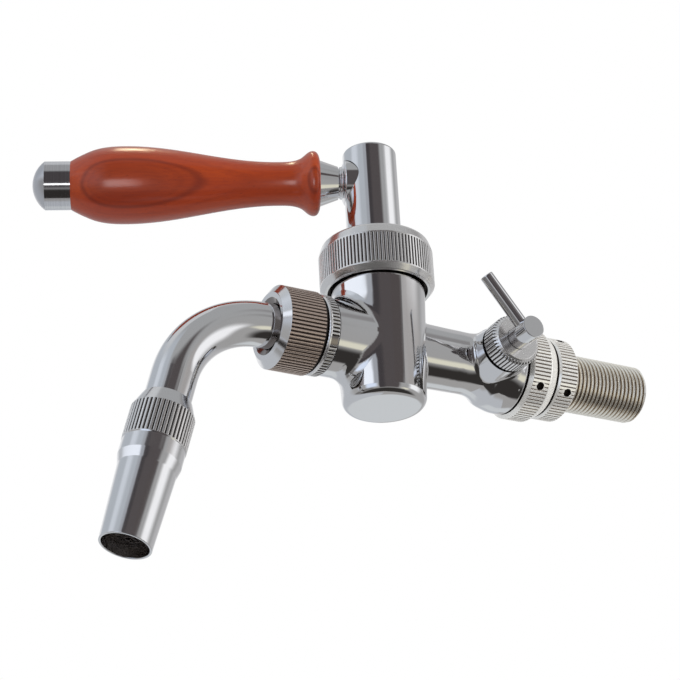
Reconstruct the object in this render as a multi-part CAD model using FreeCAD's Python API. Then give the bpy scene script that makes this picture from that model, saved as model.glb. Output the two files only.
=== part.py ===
import FreeCAD, Part
import math
import os

# Side pull beer faucet. Millimetres.
# +Z is up, +Y runs along the flow axis to the wall shank, -Y to the spout,
# and +X is the side with the flow-control lever.
# Every size below is measured from the valve's centre, where the barrel's
# upright axis crosses the flow axis. The finished pieces are then moved along Y
# so that the frame's origin is on the flow axis at the start of the free thread.

V = FreeCAD.Vector
ORIGIN = V(0, 0, 0)
UP = V(0, 0, 1)
TO_WALL = V(0, 1, 0)
TO_LEVER = V(1, 0, 0)

# Clearances between pieces.
RUNNING_GAP = 0.05
LOOSE_GAP = 0.3
SEATED_GAP = 0.02

# How far a cutting tool runs past the surface that it opens.
OVERSHOOT = 1.0

# Ball, seats and the chamber that they sit in.
BALL_R = 11.5
FLOW_R = 5.5
BALL_SLOT_WIDTH = 5.0
BALL_SLOT_DEPTH = 3.0
SEAT_WIDTH = 4.0
SEAT_FACE_INSET = 0.8
SEAT_BEHIND_BALL = 3.0
CHAMBER_ROOM = 1.1
CHAMBER_BELOW_BALL = 4.5
DRILL_TIP = 3.0

# Barrel of the casting, slightly tapered, with a threaded mouth.
BARREL_FLOOR = 9.5
BARREL_FOOT_WALL = 3.4
BARREL_TOP_WALL = 5.8
BARREL_SHOULDER_Z = 24.7
BARREL_EDGE_ROUND = 3.8
MOUTH_WALL = 5.0
MOUTH_LENGTH = 12.6

# Bonnet nut and the bush that it holds down.
BONNET_SKIRT = 1.2
BONNET_SKIRT_ROOM = 1.1
BONNET_RIM = 1.1
BONNET_SKIRT_WALL = 2.8
BONNET_LOW_LAND = 2.7
BONNET_CROWN_LENGTH = 5.0
BONNET_CROWN_INSET = 3.3
BONNET_WEB = 3.8
BONNET_ROUND = 2.2
BUSH_FLANGE = 2.8
BUSH_SPIGOT = 3.4

# Stem, its stop and the post that carries the handle.
STEM_DRIVE_R = 6.0
STEM_NECK = 3.0
STEM_PISTON_GAP = 0.4
STEM_SHOULDER = 1.5
STEM_SEAL_ABOVE = 5.5
SEAL_CORD_R = 1.3
POST_HEIGHT = 42.1
POST_ROUND = 1.1
STOP_PIN_R = 1.2
STOP_PIN_BELOW_BUSH = 4.6
STOP_PIN_REACH = 2.0
STOP_PIN_ANGLE = 90.0

# Handle. Its axis is level; stations run outward from the post's axis.
HANDLE_BELOW_TOP = 13.1
HANDLE_TURN = 24.3
HANDLE_TRAVEL = 90.0
SOCKET_MARGIN = 1.5
SOCKET_GAP = 0.25
SOCKET_DEEP = 5.0
SOCKET_SHORT_OF_POST = 0.1
SOCKET_BEAD = 2.1
SOCKET_LIP_R = 6.5
NECK_STEP = 0.6
NECK_LENGTH = 0.4
FERRULE_LENGTH = 7.5
FERRULE_LIP = 0.1
FERRULE_FLARE = 2.7
GRIP_FACE_MARGIN = 1.3
GRIP_RIM_R = 12.9
GRIP_RIM_AT = 2.4
GRIP_THROAT_R = 9.8
GRIP_THROAT_AT = 7.6
GRIP_WAIST_R = 8.65
GRIP_WAIST_AT = 16.3
GRIP_BELLY_R = 15.35
GRIP_BELLY_AT = 76.4
GRIP_SHOULDER_R = 13.2
GRIP_SHOULDER_AT = 90.4
GRIP_LENGTH = 97.7
CAP_R = 9.6
CAP_LENGTH = 10.1
CAP_RISE = 4.9
CAP_SPIGOT_R = 5.0
CAP_SPIGOT_LENGTH = 8.0
STUD_R = 3.5
STUD_START = 2.0
STUD_IN_GRIP = 29.4

# Spout: a pipe with a collar and a tail, bent once.
PIPE_R = 8.6
PIPE_WALL = 1.4
TAIL_STEP = 0.8
TAIL_LENGTH = 11.0
TAIL_SEAL_AT = 6.0
TAIL_SEAL_CORD_R = 0.9
COLLAR_INSET = 0.7
COLLAR_LENGTH = 6.0
PIPE_STRAIGHT = 1.7
BEND_R = 38.0
BEND_ANGLE = 74.1
PIPE_RUN_OUT = 27.0

# Outlet neck and what is screwed to it.
OUTLET_NECK = 6.8
OUTLET_THREAD_WALL = 2.9
OUTLET_STEP = 2.3
OUTLET_THREAD_LENGTH = 12.8
OUTLET_BLEND = 5.0
JAM_RING_WALL = 2.9
JAM_RING_WIDTH = 4.6
UNION_GAP = 1.0
UNION_WALL = 3.45
UNION_WEB = 4.1
UNION_CHAMFER_LENGTH = 2.3
UNION_CHAMFER_RISE = 3.05
UNION_HOLLOW_WIDTH = 2.6
UNION_HOLLOW_DEPTH = 1.4

# Nozzle sleeve on the pipe's last straight.
NOZZLE_TOP_AT = 10.7
NOZZLE_TOP_WALL = 0.4
NOZZLE_CONE_LENGTH = 6.0
NOZZLE_KNURL_WALL = 2.9
NOZZLE_KNURL_LENGTH = 13.3
NOZZLE_BAND_STEP = 0.3
NOZZLE_BAND_LENGTH = 6.3
NOZZLE_TAPER_LENGTH = 3.9
NOZZLE_TAPER_WALL = 1.7
NOZZLE_TAPER_ROUND = 2.0
NOZZLE_TUBE_LENGTH = 29.7
NOZZLE_MOUTH_STEP = 0.55
NOZZLE_WALL = 0.9
NOZZLE_STOP_GAP = 1.0
NOZZLE_LIP_DEPTH = 7.0
NOZZLE_SEAL_FROM_END = 6.0
SCREEN_THICKNESS = 0.8
SCREEN_SPACING = 2.6
SCREEN_HOLE_R = 1.0
SCREEN_RIM = 1.15
SCREEN_RINGS = 2

# Wall shank with its washer, coupling nut and lock ring.
SHANK_R = 11.455
SHANK_RELIEF = 0.255
SHANK_CHAMFER = 0.7
SHANK_FREE_THREAD = 36.2
SHANK_BORE_R = 5.0
SHANK_SOCKET_R = 6.5
SHANK_SOCKET_DEPTH = 12.0
FLANGE_WIDTH = 1.845
FLANGE_THICKNESS = 3.3
FLANGE_ROOM = 0.5
WASHER_THICKNESS = 1.5
WASHER_WIDTH = 3.0
COUPLING_WALL = 4.7
COUPLING_WEB = 2.7
COUPLING_GAP = 0.6
COUPLING_FRONT_LAND = 1.2
COUPLING_FRONT_STEP = 1.6
COUPLING_BACK_LAND = 4.0
COUPLING_BACK_STEP = 2.4
COUPLING_HOLE_FROM_START = 5.0
COUPLING_HOLE_ANGLE = -38.7
LOCK_RING_GAP = 1.1
LOCK_RING_WALL = 4.645
LOCK_RING_WIDTH = 8.8
LOCK_RING_CHAMFER = 0.8
LOCK_RING_HOLE_FROM_START = 4.9
LOCK_RING_HOLE_ANGLE = -42.0
SPANNER_HOLE_R = 1.65
SPANNER_HOLE_DEPTH = 2.0
SPANNER_HOLES = 4

# Inlet neck and the flow-control housing on it.
INLET_WALL = 3.6
INLET_WAIST_STEP = 0.4
INLET_WAIST_FROM_BARREL = 12.6
INLET_NECK_LENGTH = 9.5
INLET_BLEND = 1.2
HOUSING_FLARE_LENGTH = 8.9
HOUSING_STEP = 3.4
HOUSING_LIP_LENGTH = 6.9
HOUSING_LIP_ROUND = 1.0
HOUSING_THREAD_LENGTH = 6.2
HOUSING_THREAD_WALL = 1.8
HOUSING_BORE_R = 9.0
HOUSING_TAPER_INSET = 3.8

# Side boss, gland nut and lever. Stations run outward along +X.
SPINDLE_FROM_SHOULDER = 4.7
BOSS_BORE_R = 7.0
BOSS_ROOT_WALL = 4.6
BOSS_FACE_WALL = 3.0
BOSS_PROUD = 0.4
BOSS_BLEND = 2.0
GLAND_GAP = 1.3
GLAND_OVERHANG = 0.3
GLAND_LENGTH = 8.3
GLAND_CHAMFER = 1.7
GLAND_PLUG_LENGTH = 7.0
GLAND_SEAL_CORD_R = 0.9
SPINDLE_R = 3.0
WEB_R = 4.2
WEB_THICKNESS = 2.0
WEB_FROM_CONE = 0.6
CRANK_THROW = 2.5
CRANK_PIN_R = 1.5
CRANK_PIN_LENGTH = 3.4
CRANK_SLOT_GAP = 0.4
LEVER_BARREL_R = 4.5
LEVER_BARREL_LENGTH = 10.9
LEVER_ROD_FROM_END = 4.9
LEVER_ROD_R = 2.6
LEVER_ROD_START = 1.0
LEVER_ROD_REACH = 26.4
LEVER_LEAN = 38.0

# Flow-control cone on the flow axis.
CONE_BEFORE_SPINDLE = 7.7
CONE_NOSE_GAP = 1.0
CONE_CROWN_LENGTH = 4.0
CONE_CORE_R = 4.0
CONE_FIN_WIDTH = 2.4
CONE_FINS = 3
CONE_NECK_R = 6.2
CONE_NECK_BEHIND_SPINDLE = 5.8
CONE_TAPER_LENGTH = 6.5
CONE_LAND = 1.5
CONE_OVER_BORE = 0.6

# Chamfer at both ends of the rings that are turned by hand.
RING_CHAMFER = 0.5

# Places and sizes worked out from the ones above, from the ball outwards.
SEAT_R = FLOW_R + SEAT_WIDTH
SEAT_FACE = math.sqrt(BALL_R ** 2 - SEAT_R ** 2) + SEAT_FACE_INSET
SEAT_BACK = BALL_R + SEAT_BEHIND_BALL
CHAMBER_R = BALL_R + CHAMBER_ROOM
CHAMBER_FLOOR_Z = -BALL_R - CHAMBER_BELOW_BALL
BARREL_BOTTOM_Z = CHAMBER_FLOOR_Z - BARREL_FLOOR
BARREL_FOOT_R = CHAMBER_R + BARREL_FOOT_WALL
BARREL_TOP_R = CHAMBER_R + BARREL_TOP_WALL
MOUTH_THREAD_R = CHAMBER_R + MOUTH_WALL
MOUTH_Z = BARREL_SHOULDER_Z + MOUTH_LENGTH
BUSH_TOP_Z = MOUTH_Z + BUSH_FLANGE
BUSH_BOTTOM_Z = MOUTH_Z - BUSH_SPIGOT
BONNET_MOUTH_R = BARREL_TOP_R + BONNET_SKIRT_ROOM
BONNET_R = BONNET_MOUTH_R + BONNET_SKIRT_WALL
BONNET_BOTTOM_Z = BARREL_SHOULDER_Z - BONNET_SKIRT
BONNET_KNURL_LOW_Z = BONNET_BOTTOM_Z + BONNET_LOW_LAND
BONNET_TOP_Z = BUSH_TOP_Z + BONNET_WEB
BONNET_KNURL_HIGH_Z = BONNET_TOP_Z - BONNET_CROWN_LENGTH
BONNET_CROWN_R = BONNET_R - BONNET_CROWN_INSET
STEM_PISTON_R = CHAMBER_R - STEM_PISTON_GAP
STEM_PISTON_LOW_Z = BALL_R + STEM_NECK
STEM_SEAL_Z = STEM_PISTON_LOW_Z + STEM_SEAL_ABOVE
STOP_PIN_Z = BUSH_BOTTOM_Z - STOP_PIN_BELOW_BUSH
POST_R = STEM_PISTON_R - STEM_SHOULDER
POST_TOP_Z = BONNET_TOP_Z + POST_HEIGHT

HANDLE_DIR = V(-math.sin(math.radians(HANDLE_TURN)), -math.cos(math.radians(HANDLE_TURN)), 0)
HANDLE_ROOT = V(0, 0, POST_TOP_Z - HANDLE_BELOW_TOP)
SOCKET_R = POST_R - SOCKET_MARGIN
SOCKET_SHOULDER = POST_R - SOCKET_SHORT_OF_POST
SOCKET_END = SOCKET_SHOULDER + SOCKET_BEAD
NECK_R = SOCKET_LIP_R - NECK_STEP
FERRULE_START = SOCKET_END + NECK_LENGTH
FERRULE_END = FERRULE_START + FERRULE_LENGTH
FERRULE_SMALL_R = SOCKET_LIP_R + FERRULE_LIP
FERRULE_LARGE_R = FERRULE_SMALL_R + FERRULE_FLARE
GRIP_END = FERRULE_END + GRIP_LENGTH
CAP_DOME_AT = GRIP_END + CAP_LENGTH
CAP_TIP = CAP_DOME_AT + CAP_RISE
STUD_END = FERRULE_END + STUD_IN_GRIP

TO_SPOUT = V(0, -1, 0)
PIPE_BORE_R = PIPE_R - PIPE_WALL
TAIL_R = PIPE_R + TAIL_STEP
OUTLET_BORE_R = TAIL_R + LOOSE_GAP
OUTLET_THREAD_R = OUTLET_BORE_R + OUTLET_THREAD_WALL
OUTLET_R = OUTLET_THREAD_R + OUTLET_STEP
OUTLET_SHOULDER = BARREL_TOP_R + OUTLET_NECK
OUTLET_END = OUTLET_SHOULDER + OUTLET_THREAD_LENGTH
TAIL_START = OUTLET_END - TAIL_LENGTH
COLLAR_R = OUTLET_THREAD_R - COLLAR_INSET
COLLAR_END = OUTLET_END + COLLAR_LENGTH
JAM_RING_START = OUTLET_SHOULDER + LOOSE_GAP
JAM_RING_END = JAM_RING_START + JAM_RING_WIDTH
UNION_START = JAM_RING_END + UNION_GAP
UNION_R = OUTLET_THREAD_R + UNION_WALL
UNION_FACE = COLLAR_END + LOOSE_GAP + UNION_WEB
BEND_START = UNION_FACE + PIPE_STRAIGHT
BEND = math.radians(BEND_ANGLE)
NOZZLE_DIR = V(0, -math.cos(BEND), -math.sin(BEND))
BEND_END = V(0, -BEND_START - BEND_R * math.sin(BEND), -BEND_R * (1 - math.cos(BEND)))

NOZZLE_FIT_R = PIPE_R + LOOSE_GAP
NOZZLE_KNURL_AT = NOZZLE_TOP_AT + NOZZLE_CONE_LENGTH
NOZZLE_BAND_AT = NOZZLE_KNURL_AT + NOZZLE_KNURL_LENGTH
NOZZLE_TAPER_AT = NOZZLE_BAND_AT + NOZZLE_BAND_LENGTH
NOZZLE_TUBE_AT = NOZZLE_TAPER_AT + NOZZLE_TAPER_LENGTH
NOZZLE_MOUTH = NOZZLE_TUBE_AT + NOZZLE_TUBE_LENGTH
NOZZLE_KNURL_R = NOZZLE_FIT_R + NOZZLE_KNURL_WALL
NOZZLE_BAND_R = NOZZLE_KNURL_R - NOZZLE_BAND_STEP
NOZZLE_MOUTH_R = NOZZLE_FIT_R + NOZZLE_MOUTH_STEP
NOZZLE_BORE_R = NOZZLE_MOUTH_R - NOZZLE_WALL
NOZZLE_SEAL_AT = PIPE_RUN_OUT - NOZZLE_SEAL_FROM_END
SCREEN_AT = NOZZLE_MOUTH - NOZZLE_LIP_DEPTH - SCREEN_THICKNESS
SCREEN_HOLE_PITCH = (NOZZLE_BORE_R - SCREEN_RIM - SCREEN_HOLE_R) / SCREEN_RINGS

FLANGE_R = SHANK_R + FLANGE_WIDTH
HOUSING_THREAD_R = FLANGE_R + FLANGE_ROOM
HOUSING_R = HOUSING_THREAD_R + HOUSING_STEP
HOUSING_TAPER_R = HOUSING_THREAD_R - HOUSING_THREAD_WALL
INLET_R = HOUSING_BORE_R + INLET_WALL
INLET_WAIST_R = INLET_R - INLET_WAIST_STEP
INLET_WAIST_AT = BARREL_TOP_R + INLET_WAIST_FROM_BARREL
INLET_END = INLET_WAIST_AT + INLET_NECK_LENGTH
HOUSING_SHOULDER = INLET_END + HOUSING_FLARE_LENGTH
HOUSING_END = HOUSING_SHOULDER + HOUSING_LIP_LENGTH
HOUSING_THREAD_END = HOUSING_END + HOUSING_THREAD_LENGTH
SPINDLE_Y = HOUSING_SHOULDER - SPINDLE_FROM_SHOULDER
SPINDLE_ROOT = V(0, SPINDLE_Y, 0)
CONE_START = SPINDLE_Y - CONE_BEFORE_SPINDLE
HOUSING_BORE_START = CONE_START - CONE_NOSE_GAP
HOUSING_TAPER_START = HOUSING_END - HOUSING_TAPER_INSET
CONE_R = HOUSING_BORE_R + CONE_OVER_BORE
CONE_TAPER_START = SPINDLE_Y + CONE_NECK_BEHIND_SPINDLE
CONE_TAPER_END = CONE_TAPER_START + CONE_TAPER_LENGTH
CONE_END = CONE_TAPER_END + CONE_LAND
WEB_START = CONE_NECK_R + WEB_FROM_CONE
SPINDLE_END = WEB_START + WEB_THICKNESS

BOSS_FACE = HOUSING_R + BOSS_PROUD
BOSS_ROOT_R = BOSS_BORE_R + BOSS_ROOT_WALL
BOSS_FACE_R = BOSS_BORE_R + BOSS_FACE_WALL
GLAND_R = BOSS_FACE_R + GLAND_OVERHANG
GLAND_START = BOSS_FACE + GLAND_GAP
GLAND_END = GLAND_START + GLAND_LENGTH
GLAND_PLUG_START = BOSS_FACE - GLAND_PLUG_LENGTH
LEVER_START = GLAND_END + LOOSE_GAP
LEVER_END = LEVER_START + LEVER_BARREL_LENGTH
LEVER_DIR = V(0, -math.sin(math.radians(LEVER_LEAN)), math.cos(math.radians(LEVER_LEAN)))
LEVER_ROOT = SPINDLE_ROOT + TO_LEVER * (LEVER_END - LEVER_ROD_FROM_END)
CRANK_ROOT = SPINDLE_ROOT + LEVER_DIR * CRANK_THROW

WASHER_END = HOUSING_THREAD_END + WASHER_THICKNESS
FLANGE_BACK = WASHER_END + FLANGE_THICKNESS
COUPLING_START = HOUSING_END + COUPLING_GAP
COUPLING_END = FLANGE_BACK + COUPLING_WEB
COUPLING_R = HOUSING_THREAD_R + COUPLING_WALL
RING_BORE_R = SHANK_R + LOOSE_GAP
LOCK_RING_R = RING_BORE_R + LOCK_RING_WALL
LOCK_RING_START = COUPLING_END + LOCK_RING_GAP
LOCK_RING_END = LOCK_RING_START + LOCK_RING_WIDTH
FREE_THREAD_START = LOCK_RING_END + LOOSE_GAP
SHANK_END = FREE_THREAD_START + SHANK_FREE_THREAD


def placed(shape, root, direction):
    """Moves a shape made on the Z axis so that its axis leaves root along direction."""
    copy = shape.copy()
    copy.Placement = FreeCAD.Placement(root, FreeCAD.Rotation(UP, direction)).multiply(shape.Placement)
    return copy


def corner(before, point, after, radius):
    """Tangent points and middle of the arc that rounds one corner of an outline."""
    back = (before - point).normalize()
    ahead = (after - point).normalize()
    half = back.getAngle(ahead) / 2
    reach = radius / math.tan(half)
    bisector = (back + ahead).normalize()
    centre = point + bisector * (radius / math.sin(half))
    return point + back * reach, centre - bisector * radius, point + ahead * reach


def outline(points):
    """Closed wire through (station, radius) points; a third value rounds that corner."""
    flat = [V(p[1], 0, p[0]) for p in points]
    edges = []
    starts = []
    ends = []
    for i, p in enumerate(points):
        if len(p) > 2 and p[2] > 0:
            first, middle, last = corner(flat[i - 1], flat[i], flat[(i + 1) % len(flat)], p[2])
            edges.append(Part.Arc(first, middle, last).toShape())
            starts.append(first)
            ends.append(last)
        else:
            starts.append(flat[i])
            ends.append(flat[i])
    for i in range(len(points)):
        following = starts[(i + 1) % len(points)]
        if ends[i].distanceToPoint(following) > 1e-6:
            edges.append(Part.LineSegment(ends[i], following).toShape())
    return Part.Wire(Part.sortEdges(edges)[0])


def turned(points, root=ORIGIN, direction=UP):
    """Solid turned from an outline of (station, radius) points about an axis."""
    solid = Part.Face(outline(points)).revolve(ORIGIN, UP, 360)
    return placed(solid, root, direction)


def rod(radius, start, end, root=ORIGIN, direction=UP):
    """Plain cylinder from one station to another along an axis."""
    return turned([(start, 0), (start, radius), (end, radius), (end, 0)], root, direction)


def seal(radius, cord, station, root=ORIGIN, direction=UP):
    """Ring of round cord whose outside has the given radius."""
    ring = Part.makeTorus(radius - cord, cord)
    ring.translate(V(0, 0, station))
    return placed(ring, root, direction)


def groove(radius, cord, station, root=ORIGIN, direction=UP):
    """Ring to cut away for a seal that stands out of a shaft of the given radius."""
    low = station - cord - SEATED_GAP
    high = station + cord + SEATED_GAP
    floor = radius - 2 * cord - SEATED_GAP
    outside = radius + OVERSHOOT
    return turned([(low, floor), (low, outside), (high, outside), (high, floor)], root, direction)


def radial_holes(radius, station, angle):
    """Blind spanner holes round a ring on the flow axis, to cut away."""
    holes = []
    for i in range(SPANNER_HOLES):
        turn = math.radians(angle + 360.0 * i / SPANNER_HOLES)
        out = V(math.cos(turn), 0, math.sin(turn))
        holes.append(rod(SPANNER_HOLE_R, radius - SPANNER_HOLE_DEPTH, radius + OVERSHOOT,
                         V(0, station, 0), out))
    return holes


def blended(solid, radius, near):
    """Rounds the edges that a test picks out."""
    edges = [e for e in solid.Edges if near(e)]
    return solid.makeFillet(radius, edges)


def edge_box(edge, low, high):
    """True where the whole edge lies inside a box."""
    box = edge.BoundBox
    return (box.XMin >= low[0] and box.YMin >= low[1] and box.ZMin >= low[2]
            and box.XMax <= high[0] and box.YMax <= high[1] and box.ZMax <= high[2])


def housing_outline():
    """Inlet neck and flow-control housing as one curved outline about the flow axis."""
    flare = HOUSING_SHOULDER - INLET_END
    points = [V(INLET_R, 0, BARREL_FOOT_R / 2), V(INLET_WAIST_R, 0, INLET_WAIST_AT), V(INLET_R, 0, INLET_END),
              V((INLET_R + HOUSING_R) / 2, 0, INLET_END + flare / 2), V(HOUSING_R - 0.6, 0, HOUSING_SHOULDER),
              V(HOUSING_R, 0, HOUSING_END - 2 * HOUSING_LIP_ROUND)]
    steep = (HOUSING_R - INLET_R) / flare
    slopes = [V(0, 0, 1), V(0, 0, 1), V(0.25, 0, 1), V(1.7 * steep, 0, 1), V(0.3, 0, 1), V(0, 0, 1)]
    neck = Part.BSplineCurve()
    neck.interpolate(Points=points, Tangents=slopes, TangentFlags=[True] * len(points))
    first = V(0, 0, BARREL_FOOT_R / 2)
    lip = V(HOUSING_R, 0, HOUSING_END - HOUSING_LIP_ROUND)
    rim = V(HOUSING_R - HOUSING_LIP_ROUND, 0, HOUSING_END)
    turn = math.sqrt(0.5) * HOUSING_LIP_ROUND
    middle = V(HOUSING_R - HOUSING_LIP_ROUND + turn, 0, HOUSING_END - HOUSING_LIP_ROUND + turn)
    edges = [neck.toShape(),
             Part.LineSegment(neck.EndPoint, lip).toShape(),
             Part.Arc(lip, middle, rim).toShape(),
             Part.LineSegment(rim, V(HOUSING_THREAD_R, 0, HOUSING_END)).toShape(),
             Part.LineSegment(V(HOUSING_THREAD_R, 0, HOUSING_END),
                              V(HOUSING_THREAD_R, 0, HOUSING_THREAD_END)).toShape(),
             Part.LineSegment(V(HOUSING_THREAD_R, 0, HOUSING_THREAD_END),
                              V(0, 0, HOUSING_THREAD_END)).toShape(),
             Part.LineSegment(V(0, 0, HOUSING_THREAD_END), first).toShape(),
             Part.LineSegment(first, neck.StartPoint).toShape()]
    return Part.Face(Part.Wire(Part.sortEdges(edges)[0]))


def valve_body():
    """Casting: tapered barrel, two necks, flow-control housing and side boss."""
    barrel = turned([(BARREL_BOTTOM_Z, 0), (BARREL_BOTTOM_Z, BARREL_FOOT_R, BARREL_EDGE_ROUND),
                     (BARREL_SHOULDER_Z, BARREL_TOP_R), (BARREL_SHOULDER_Z, MOUTH_THREAD_R),
                     (MOUTH_Z, MOUTH_THREAD_R), (MOUTH_Z, 0)])
    outlet = rod(OUTLET_R, 0, OUTLET_SHOULDER, ORIGIN, TO_SPOUT)
    housing = placed(housing_outline().revolve(ORIGIN, UP, 360), ORIGIN, TO_WALL)
    boss = turned([(0, 0), (0, BOSS_ROOT_R), (BOSS_FACE, BOSS_FACE_R), (BOSS_FACE, 0)],
                  SPINDLE_ROOT, TO_LEVER)
    body = barrel.fuse([outlet, housing]).removeSplitter()
    body = blended(body, OUTLET_BLEND, lambda e: edge_box(
        e, (-OUTLET_R - 0.1, -BARREL_TOP_R, -OUTLET_R - 0.1), (OUTLET_R + 0.1, -1, OUTLET_R + 0.1)))
    body = blended(body, INLET_BLEND, lambda e: edge_box(
        e, (-INLET_R - 0.1, 1, -INLET_R - 0.1), (INLET_R + 0.1, BARREL_TOP_R, INLET_R + 0.1)))
    body = body.fuse(boss).removeSplitter()
    body = blended(body, BOSS_BLEND, lambda e: edge_box(
        e, (1, SPINDLE_Y - BOSS_ROOT_R, -BOSS_ROOT_R),
        (BOSS_FACE - 0.2, SPINDLE_Y + BOSS_ROOT_R, BOSS_ROOT_R)))
    thread = rod(OUTLET_THREAD_R, OUTLET_SHOULDER, OUTLET_END, ORIGIN, TO_SPOUT)
    body = body.fuse(thread)
    chamber = turned([(CHAMBER_FLOOR_Z - DRILL_TIP, 0), (CHAMBER_FLOOR_Z, CHAMBER_R),
                      (MOUTH_Z, CHAMBER_R), (MOUTH_Z, 0)])
    seats = rod(SEAT_R, -SEAT_BACK, SEAT_BACK, ORIGIN, TO_WALL)
    flow = rod(FLOW_R, -OUTLET_END, HOUSING_BORE_START + OVERSHOOT, ORIGIN, TO_WALL)
    tail = rod(OUTLET_BORE_R, TAIL_START - LOOSE_GAP, OUTLET_END, ORIGIN, TO_SPOUT)
    bore = turned([(HOUSING_BORE_START, 0), (HOUSING_BORE_START, HOUSING_BORE_R),
                   (HOUSING_TAPER_START, HOUSING_BORE_R), (HOUSING_THREAD_END, HOUSING_TAPER_R),
                   (HOUSING_THREAD_END, 0)], ORIGIN, TO_WALL)
    side = rod(BOSS_BORE_R, 0, BOSS_FACE, SPINDLE_ROOT, TO_LEVER)
    pin = rod(STOP_PIN_R, 0, CHAMBER_R + STOP_PIN_REACH, V(0, 0, STOP_PIN_Z), stop_pin_direction())
    return body.cut([chamber, seats, flow, tail, bore, side, pin])


def seat(direction):
    """Plastic ring with a hollow face that fits the ball."""
    ring = turned([(SEAT_FACE, FLOW_R), (SEAT_FACE, SEAT_R), (SEAT_BACK, SEAT_R), (SEAT_BACK, FLOW_R)],
                  ORIGIN, direction)
    return ring.cut(Part.makeSphere(BALL_R + RUNNING_GAP))


def stop_pin_direction():
    """Level direction of the pin that stops the stem."""
    turn = math.radians(STOP_PIN_ANGLE)
    return V(math.cos(turn), math.sin(turn), 0)


def stop_pin():
    """Dowel in the barrel's wall that ends the handle's travel."""
    return rod(STOP_PIN_R, STEM_PISTON_R - STOP_PIN_REACH + LOOSE_GAP, CHAMBER_R + STOP_PIN_REACH,
               V(0, 0, STOP_PIN_Z), stop_pin_direction())


def bonnet_bush():
    """Flanged guide ring that sits on the barrel's mouth, round the post."""
    return turned([(BUSH_BOTTOM_Z, POST_R + RUNNING_GAP), (BUSH_BOTTOM_Z, CHAMBER_R - SEATED_GAP),
                   (MOUTH_Z, CHAMBER_R - SEATED_GAP), (MOUTH_Z, MOUTH_THREAD_R - LOOSE_GAP),
                   (BUSH_TOP_Z, MOUTH_THREAD_R - LOOSE_GAP), (BUSH_TOP_Z, POST_R + RUNNING_GAP)])


def bonnet_nut():
    """Knurled nut with a rounded crown; it grips the bush's flange."""
    hole = POST_R + LOOSE_GAP
    thread = MOUTH_THREAD_R + SEATED_GAP
    step = BARREL_SHOULDER_Z + 2 * LOOSE_GAP
    return turned([(BONNET_BOTTOM_Z, BONNET_MOUTH_R), (BONNET_BOTTOM_Z, BONNET_MOUTH_R + BONNET_RIM, 0.3),
                   (BONNET_KNURL_LOW_Z - 0.6, BONNET_R, 0.6), (BONNET_KNURL_HIGH_Z, BONNET_R, 0.8),
                   (BONNET_TOP_Z - BONNET_ROUND / 2, BONNET_CROWN_R + BONNET_ROUND, BONNET_ROUND),
                   (BONNET_TOP_Z, BONNET_CROWN_R, 1.0), (BONNET_TOP_Z, hole),
                   (BUSH_TOP_Z, hole), (BUSH_TOP_Z, thread), (step, thread), (step, BONNET_MOUTH_R)])


def ball():
    """Ball with its flow bore in line with the handle and a drive slot on top."""
    solid = Part.makeSphere(BALL_R)
    bore = rod(FLOW_R, -BALL_R - OVERSHOOT, BALL_R + OVERSHOOT, ORIGIN, HANDLE_DIR)
    slot = Part.makeBox(BALL_SLOT_WIDTH, 2 * BALL_R, BALL_SLOT_DEPTH + OVERSHOOT,
                        V(-BALL_SLOT_WIDTH / 2, -BALL_R, BALL_R - BALL_SLOT_DEPTH))
    slot.rotate(ORIGIN, UP, -HANDLE_TURN)
    return solid.cut([bore, slot])


def stem():
    """Tang, piston with its stop groove and seal groove, and the upright post."""
    tang_z = BALL_R - BALL_SLOT_DEPTH + SEATED_GAP
    shaft = turned([(BALL_R + RUNNING_GAP, 0), (BALL_R + RUNNING_GAP, STEM_DRIVE_R),
                    (STEM_PISTON_LOW_Z, STEM_DRIVE_R), (STEM_PISTON_LOW_Z, STEM_PISTON_R),
                    (BUSH_BOTTOM_Z - LOOSE_GAP, STEM_PISTON_R), (BUSH_BOTTOM_Z - LOOSE_GAP, POST_R),
                    (POST_TOP_Z, POST_R, POST_ROUND), (POST_TOP_Z, 0)])
    width = BALL_SLOT_WIDTH - 2 * SEATED_GAP
    tang = Part.makeBox(width, 2 * STEM_DRIVE_R, BALL_R + OVERSHOOT - tang_z,
                        V(-width / 2, -STEM_DRIVE_R, tang_z))
    tang.rotate(ORIGIN, UP, -HANDLE_TURN)
    tang = tang.common(rod(STEM_DRIVE_R, 0, BALL_R + OVERSHOOT))
    low = STOP_PIN_Z - STOP_PIN_R - LOOSE_GAP
    high = STOP_PIN_Z + STOP_PIN_R + LOOSE_GAP
    inner = STEM_PISTON_R - STOP_PIN_REACH
    margin = math.degrees(math.asin((STOP_PIN_R + LOOSE_GAP) / inner))
    outer = STEM_PISTON_R + OVERSHOOT
    track = Part.makePolygon([V(inner, 0, low), V(outer, 0, low), V(outer, 0, high), V(inner, 0, high),
                              V(inner, 0, low)])
    track = Part.Face(track).revolve(ORIGIN, UP, HANDLE_TRAVEL + 2 * margin)
    track.rotate(ORIGIN, UP, STOP_PIN_ANGLE - HANDLE_TURN - margin)
    pocket = rod(SOCKET_R, SOCKET_DEEP, POST_R + OVERSHOOT, HANDLE_ROOT, HANDLE_DIR)
    stud = rod(STUD_R + SEATED_GAP, 0, SOCKET_DEEP + OVERSHOOT, HANDLE_ROOT, HANDLE_DIR)
    ring = groove(CHAMBER_R - RUNNING_GAP, SEAL_CORD_R, STEM_SEAL_Z)
    return shaft.fuse(tang).cut([track, pocket, stud, ring])


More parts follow.
